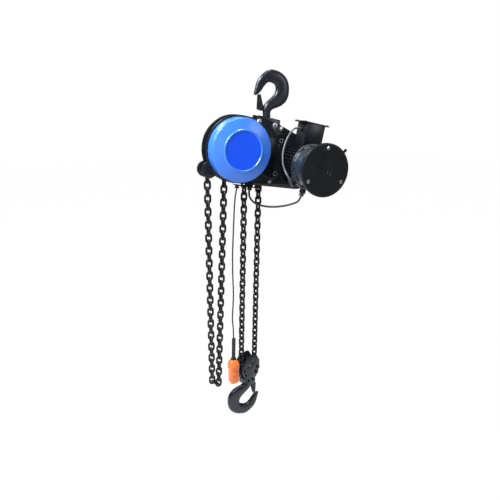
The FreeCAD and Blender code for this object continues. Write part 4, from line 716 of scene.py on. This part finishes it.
class HOIST_OT_castings(bpy.types.Operator):
    """Rounds the edges of the plates, yoke, box, lid, lugs, bracket and cheeks"""

    bl_idname = "hoist.castings"
    bl_label = "Castings"

    def execute(self, context):
        edge = sizes().edge_round
        for node in ("front_plate", "rear_plate", "terminal_box", "box_lid", "cable_lugs", "cable_bracket"):
            softened(node, "frame", edge, black_paint())
        softened("hook_yoke", "yoke", edge, black_paint())
        for node in ("front_cheek", "rear_cheek", "block_crosshead"):
            softened(node, "hook_block", 1.6 * edge, black_paint())
        return {"FINISHED"}


# ---------------------------------------------------------------- motor
# In body millimetres.  Turned outlines give a radius and a distance in front of the middle.
MOTOR_AT = (308.0, -13.0)
END_SCREW_RING = 94.0
FLANGE_SCREW_RING = 96.5
DISC_PINS = [(244, -9), (249, -32), (232, 57)]


class HOIST_OT_motor(bpy.types.Operator):
    """Spins the flared brake housing and its end disc, with their screws, pins and tab"""

    bl_idname = "hoist.motor"
    bl_label = "Motor end"

    def execute(self, context):
        self.housing()
        self.end_disc()
        self.small_parts()
        return {"FINISHED"}

    def housing(self):
        form = bmesh.new()
        outside = rounded([(40, 148.2), (101, 148.2, 0), (101, 158, 2), (93.5, 158.5, 3), (92, 166, 6),
                           (85, 196, 60),
                           (82, 224, 22), (90, 243, 26), (106, 254.8, 2), (100, 254.8)], 2, 8)
        inside = [(100, 254.8), (78, 226), (76, 190), (84, 160), (40, 158), (40, 148.2)]
        add_turned(form, outside, MOTOR_AT, 128)
        add_turned(form, inside, MOTOR_AT, 128)
        bmesh.ops.remove_doubles(form, verts=form.verts, dist=0.001)
        # The housing's lighter, bluer paint colour is a painted reflection.
        finished(form, "BrakeHousingSkin", body_axes(), "frame", [gloss_paint_painted_reflection()], ["brake_housing"])

    def end_disc(self):
        form = bmesh.new()
        face = rounded([(0, 255.2), (108, 255.2, 0), (114, 255.4, 1), (114, 268.6, 2.4), (108.5, 270, 1),
                        (107.5, 269.2, 1),
                        (31, 269.2, 1.2), (29.5, 267.6, 1.2), (14, 267.6, 1), (12.5, 265.8, 1), (0, 265.8)],
                        1.0, 4)
        add_turned(form, face, MOTOR_AT, 160)
        bmesh.ops.remove_doubles(form, verts=form.verts, dist=0.001)
        finished(form, "EndDiscFace", body_axes(), "frame", [disc_paint()], ["motor_end_disc"])

    def small_parts(self):
        washer = rounded([(0, 269.3), (8.5, 269.3, 0), (8.5, 270.4, 0.4), (6.5, 270.4)], 0.4, 2)
        form = bmesh.new()
        for k in range(3):
            a = math.radians(98 + 120 * k)
            at = (MOTOR_AT[0] + END_SCREW_RING * math.cos(a), MOTOR_AT[1] + END_SCREW_RING * math.sin(a))
            add_turned(form, washer, at, 32)
            add_hex(form, at, 6.6, 270.2, 274.6, 0.4 * k)
            bmesh.ops.remove_doubles(form, verts=form.verts, dist=0.0005)
        finished(form, "EndDiscScrewSet", body_axes(), "frame", [zinc()], ["end_disc_screws"])
        form = bmesh.new()
        for x, z in DISC_PINS:
            add_turned(form, [(2.6, 268.8), (2.6, 269.8), (1.6, 270.5), (0, 270.7)], (x, z), 16)
        for k in range(6):
            a = math.radians(12 + 60 * k)
            at = (MOTOR_AT[0] + FLANGE_SCREW_RING * math.cos(a),
                  MOTOR_AT[1] + FLANGE_SCREW_RING * math.sin(a))
            add_hex(form, at, 4.6, 157.8, 162.5, 0.3)
        finished(form, "MotorPins", body_axes(), "frame", [dark_steel()], ())
        form = bmesh.new()
        tab = rounded([(380, 80), (384, 90, 0), (392, 92, 3), (396, 84, 3), (389, 76, 0), (384, 72)], 2, 3)
        add_prism(form, tab, 262, 257, 0.8)
        finished(form, "RimTab", body_axes(), "frame", [disc_paint()], ())


# ---------------------------------------------------------------- fasteners
# Bolts in the wall plates, in body millimetres: x, z, kind and radius.
PLATE_BOLTS = [(154, 131, "cap", 12.0), (188, 125, "dome", 10.0), (73, 134, "hex", 11.0),
               (194, 73, "socket", 9.5), (196, -74, "socket", 9.5), (182, -112, "small", 7.5)]
HIDDEN_BOLTS = [(-20, 118), (-100, -30), (100, -118)]
REAR_SCREW_RING = 98.0
SPACER_R, SPACER_HALF = 12.0, 21.8
REAR_NUT = [(0, -30.2), (8, -30.2), (8, -36.5), (0, -37)]


class HOIST_OT_fasteners(bpy.types.Operator):
    """Cuts the plate bolts with their hexagons, sockets, domes and washers"""

    bl_idname = "hoist.fasteners"
    bl_label = "Fasteners"

    def execute(self, context):
        bright, painted = bmesh.new(), bmesh.new()
        for x, z, kind, radius in PLATE_BOLTS:
            form = painted if kind == "socket" else bright
            self.head(form, (x, z), kind, radius)
        for at in HIDDEN_BOLTS:
            self.head(painted, at, "hex", 9.5)
        for x, z in [bolt[:2] for bolt in PLATE_BOLTS if bolt[2] != "cap"] + HIDDEN_BOLTS:
            add_turned(painted, [(SPACER_R, SPACER_HALF), (SPACER_R, -SPACER_HALF)], (x, z), 32)
            add_turned(painted, REAR_NUT, (x, z), 24)
        finished(bright, "BrightBolts", body_axes(), "frame", [zinc()], ["stay_bolts"])
        finished(painted, "PaintedBolts", body_axes(), "frame", [black_paint()], ())
        rims = bmesh.new()
        for x, z, kind, radius in PLATE_BOLTS:
            if kind == "socket":
                ring = rounded([(radius - 0.8, 41.4), (radius + 0.25, 41.6, 0.4),
                                (radius + 0.25, 43.3, 0.6),
                                (0.66 * radius, 43.4, 0.3), (0.66 * radius, 42.9)], 0.3, 2)
                add_turned(rims, ring, (x, z), 40)
        finished(rims, "SocketRims", body_axes(), "frame", [zinc()], ())
        self.rear_heads()
        return {"FINISHED"}

    def rear_heads(self):
        """Hexagon heads with washers on the rear gear case, drawn from behind."""
        form = bmesh.new()
        places = []
        for k in range(5):
            a = math.radians(120 + 38 * k)
            places.append(((-REAR_SCREW_RING * math.cos(a), REAR_SCREW_RING * math.sin(a)), 0.5 * k))
        places.append(((-MOTOR_AT[0], MOTOR_AT[1]), 0.2))
        washer = rounded([(0, 74.1), (8.5, 74.1, 0), (8.5, 75.4, 0.4), (6.5, 75.4)], 0.4, 2)
        for at, phase in places:
            add_turned(form, washer, at, 32)
            add_hex(form, at, 6.8, 75.2, 80.0, phase)
        from_behind = body_axes() @ Matrix.Rotation(math.pi, 4, "Z")
        finished(form, "RearScrewHeads", from_behind, "frame", [zinc()], ())

    def head(self, form, at, kind, radius):
        add_turned(form, rounded([(0, 30.1), (radius + 2, 30.1, 0), (radius + 2, 32, 0.5),
                                  (radius * 0.7, 32)], 0.5, 2),
                   at, 40)
        if kind == "cap":
            add_turned(form, rounded([(radius, 32), (radius, 38, 2.5), (0, 39.5)], 2.5, 5), at, 48)
        elif kind == "dome":
            add_hex(form, at, radius, 32, 38, 0.5)
            dome = [(0.68 * radius * math.cos(a), 37.6 + 5.0 * math.sin(a)) for a in (0, 0.4, 0.8, 1.2)]
            add_turned(form, dome + [(0, 42.6)], at, 32)
        elif kind == "socket":
            add_socket_head(form, at, radius, 32, 43)
        else:
            add_hex(form, at, radius, 32, 40 if kind == "hex" else 38, 0.2)
            add_turned(form, rounded([(0.5 * radius, 38), (0.5 * radius, 42.5, 0.8), (0, 42.5)], 0.8, 2),
                       at, 24)


# ---------------------------------------------------------------- hook block
class HOIST_OT_block(bpy.types.Operator):
    """Adds the stepped hubs of the hook block"""

    bl_idname = "hoist.block"
    bl_label = "Hook block"

    def execute(self, context):
        axes = hung_axes("return_sheave_spin", context.scene.hoist_studio.block_turn)
        form = bmesh.new()
        for side in (1, -1):
            hub = rounded([(0, 40.5), (11, 40.5, 1.5), (12, 37.5, 1), (19, 37.5, 2), (20.5, 33.5, 1),
                           (27, 33.2, 1.5), (28, 31.1, 0)], 1.2, 3)
            add_turned(form, [(r, side * front) for r, front in hub], (0, 0), 56)
        finished(form, "BlockHubs", axes, "hook_block", [black_paint()], ["block_axle"])
        return {"FINISHED"}


# ---------------------------------------------------------------- handset
def rounded_ring(half_wide, half_deep, corner, z, shift=0.0, steps=5):
    """A rounded rectangle of places at one height."""
    corner = min(corner, half_wide * 0.98, half_deep * 0.98)
    places = []
    for cx, cy, start in ((1, 1, 0), (-1, 1, 90), (-1, -1, 180), (1, -1, 270)):
        for k in range(steps + 1):
            a = math.radians(start + 90 * k / steps)
            places.append((shift + cx * (half_wide - corner) + corner * math.cos(a),
                           cy * (half_deep - corner) + corner * math.sin(a), z))
    return places


# From the top down: half width as a share of the whole width, half depth, corner, depth below the top
# as a share of the height, and shift to the right.
HANDSET_SECTIONS = [
    (0.18, 9, 8, 0.0, 0), (0.26, 12, 9, 0.017, 0), (0.38, 17, 10, 0.068, 0), (0.465, 21, 9, 0.136, 0),
    (0.482, 22, 8, 0.204, 0), (0.482, 22, 8, 0.38, 0), (0.455, 21.5, 7, 0.41, 0), (0.42, 20, 6, 0.43, 1),
    (0.42, 20, 6, 0.476, 1.3), (0.438, 21, 7, 0.503, 1.8), (0.438, 21, 7, 0.9, 2.2),
    (0.41, 20, 8, 0.96, 2.2), (0.315, 15, 9, 1.0, 2.2)]
BUTTON_SHARES = (0.3, 0.63)


class HOIST_OT_handset(bpy.types.Operator):
    """Moulds the push button handset and its rubber sleeve"""

    bl_idname = "hoist.handset"
    bl_label = "Handset"

    def execute(self, context):
        low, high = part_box("pendant_housing")
        top = Matrix.Translation(((low.x + high.x) / 2, (low.y + high.y) / 2, high.z)) @ Matrix.Scale(MM, 4)
        wide, tall = (high.x - low.x) / MM, (high.z - low.z) / MM
        form = bmesh.new()
        rings = [rounded_ring(w * wide, d, corner, -z * tall, shift) for w, d, corner, z,
                 shift in HANDSET_SECTIONS]
        ring_wall(form, rings, cap_first=True, cap_last=True)
        finished(form, "HandsetShell", top, "frame", [handset_plastic()], ["pendant_housing"],
                 smooth=50)
        self.trim(top, tall)
        self.sleeve()
        return {"FINISHED"}

    def trim(self, top, tall):
        form = bmesh.new()
        ring = rounded([(11.4, 21), (15.0, 21, 0), (15.0, 23.4, 1), (12.6, 24.0, 0.6), (11.4, 23)], 0.6, 3)
        for share in BUTTON_SHARES:
            add_turned(form, ring, (0, -share * tall), 40)
        finished(form, "ButtonCollars", top, "frame", [handset_plastic()], ())
        form = bmesh.new()
        ring_wall(form, [rounded_ring(12 + a, 10 + a, 8, z) for a, z in ((-1, 5), (1, 4), (1, 0.4),
            (2, 0.2))],
                  cap_first=True, cap_last=True)
        finished(form, "HandsetCollar", top, "frame", [rubber()], ())

    def sleeve(self):
        low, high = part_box("pendant_sleeve")
        centre = ((low.x + high.x) / 2, (low.y + high.y) / 2, low.z)
        axes = Matrix.Translation(centre) @ Matrix.Rotation(math.radians(90), 4, "X") @ Matrix.Scale(MM, 4)
        tall = (high.z - low.z) / MM
        outline = [(3.4, -0.0), (8.6, 0.0)]
        ribs = 12
        for k in range(ribs):
            z = 4 + (tall - 12) * k / (ribs - 1)
            outline += [(8.6, z), (9.2, z + 1.2), (9.2, z + 3.0), (8.6, z + 4.2)]
        outline += [(8.2, tall - 2), (6.5, tall), (3.4, tall)]
        form = bmesh.new()
        add_turned(form, [(r, -z) for r, z in outline], (0, 0), 40)
        finished(form, "HandsetSleeve", axes, "frame", [rubber()], ["pendant_sleeve"])


# ---------------------------------------------------------------- panel and start
PIECES = (HOIST_OT_camera, HOIST_OT_cables, HOIST_OT_finishes, HOIST_OT_cover, HOIST_OT_castings,
          HOIST_OT_motor, HOIST_OT_fasteners, HOIST_OT_block, HOIST_OT_handset, HOIST_OT_stage)


class HOIST_PT_panel(bpy.types.Panel):
    """Lists the hoist's settings and the steps that dress it"""

    bl_idname = "HOIST_PT_panel"
    bl_label = "Chain Hoist"
    bl_space_type = "VIEW_3D"
    bl_region_type = "UI"
    bl_category = "Chain Hoist"

    def draw(self, context):
        for group in (context.scene.hoist_sizes, context.scene.hoist_colours, context.scene.hoist_studio):
            box = self.layout.box()
            for name in group.__annotations__:
                box.prop(group, name)
        for step in PIECES:
            self.layout.operator(step.bl_idname)


GROUPS = {"hoist_colours": HoistColours, "hoist_sizes": HoistSizes, "hoist_studio": HoistStudio}


def register():
    for one in (*GROUPS.values(), *PIECES, HOIST_PT_panel):
        bpy.utils.register_class(one)
    for name, group in GROUPS.items():
        setattr(bpy.types.Scene, name, PointerProperty(type=group))


def unregister():
    for name in GROUPS:
        delattr(bpy.types.Scene, name)
    for one in reversed((*GROUPS.values(), *PIECES, HOIST_PT_panel)):
        bpy.utils.unregister_class(one)


def main():
    register()
    for step in PIECES:
        group, name = step.bl_idname.split(".")
        getattr(getattr(bpy.ops, group), name)()


if __name__ == "__main__":
    main()
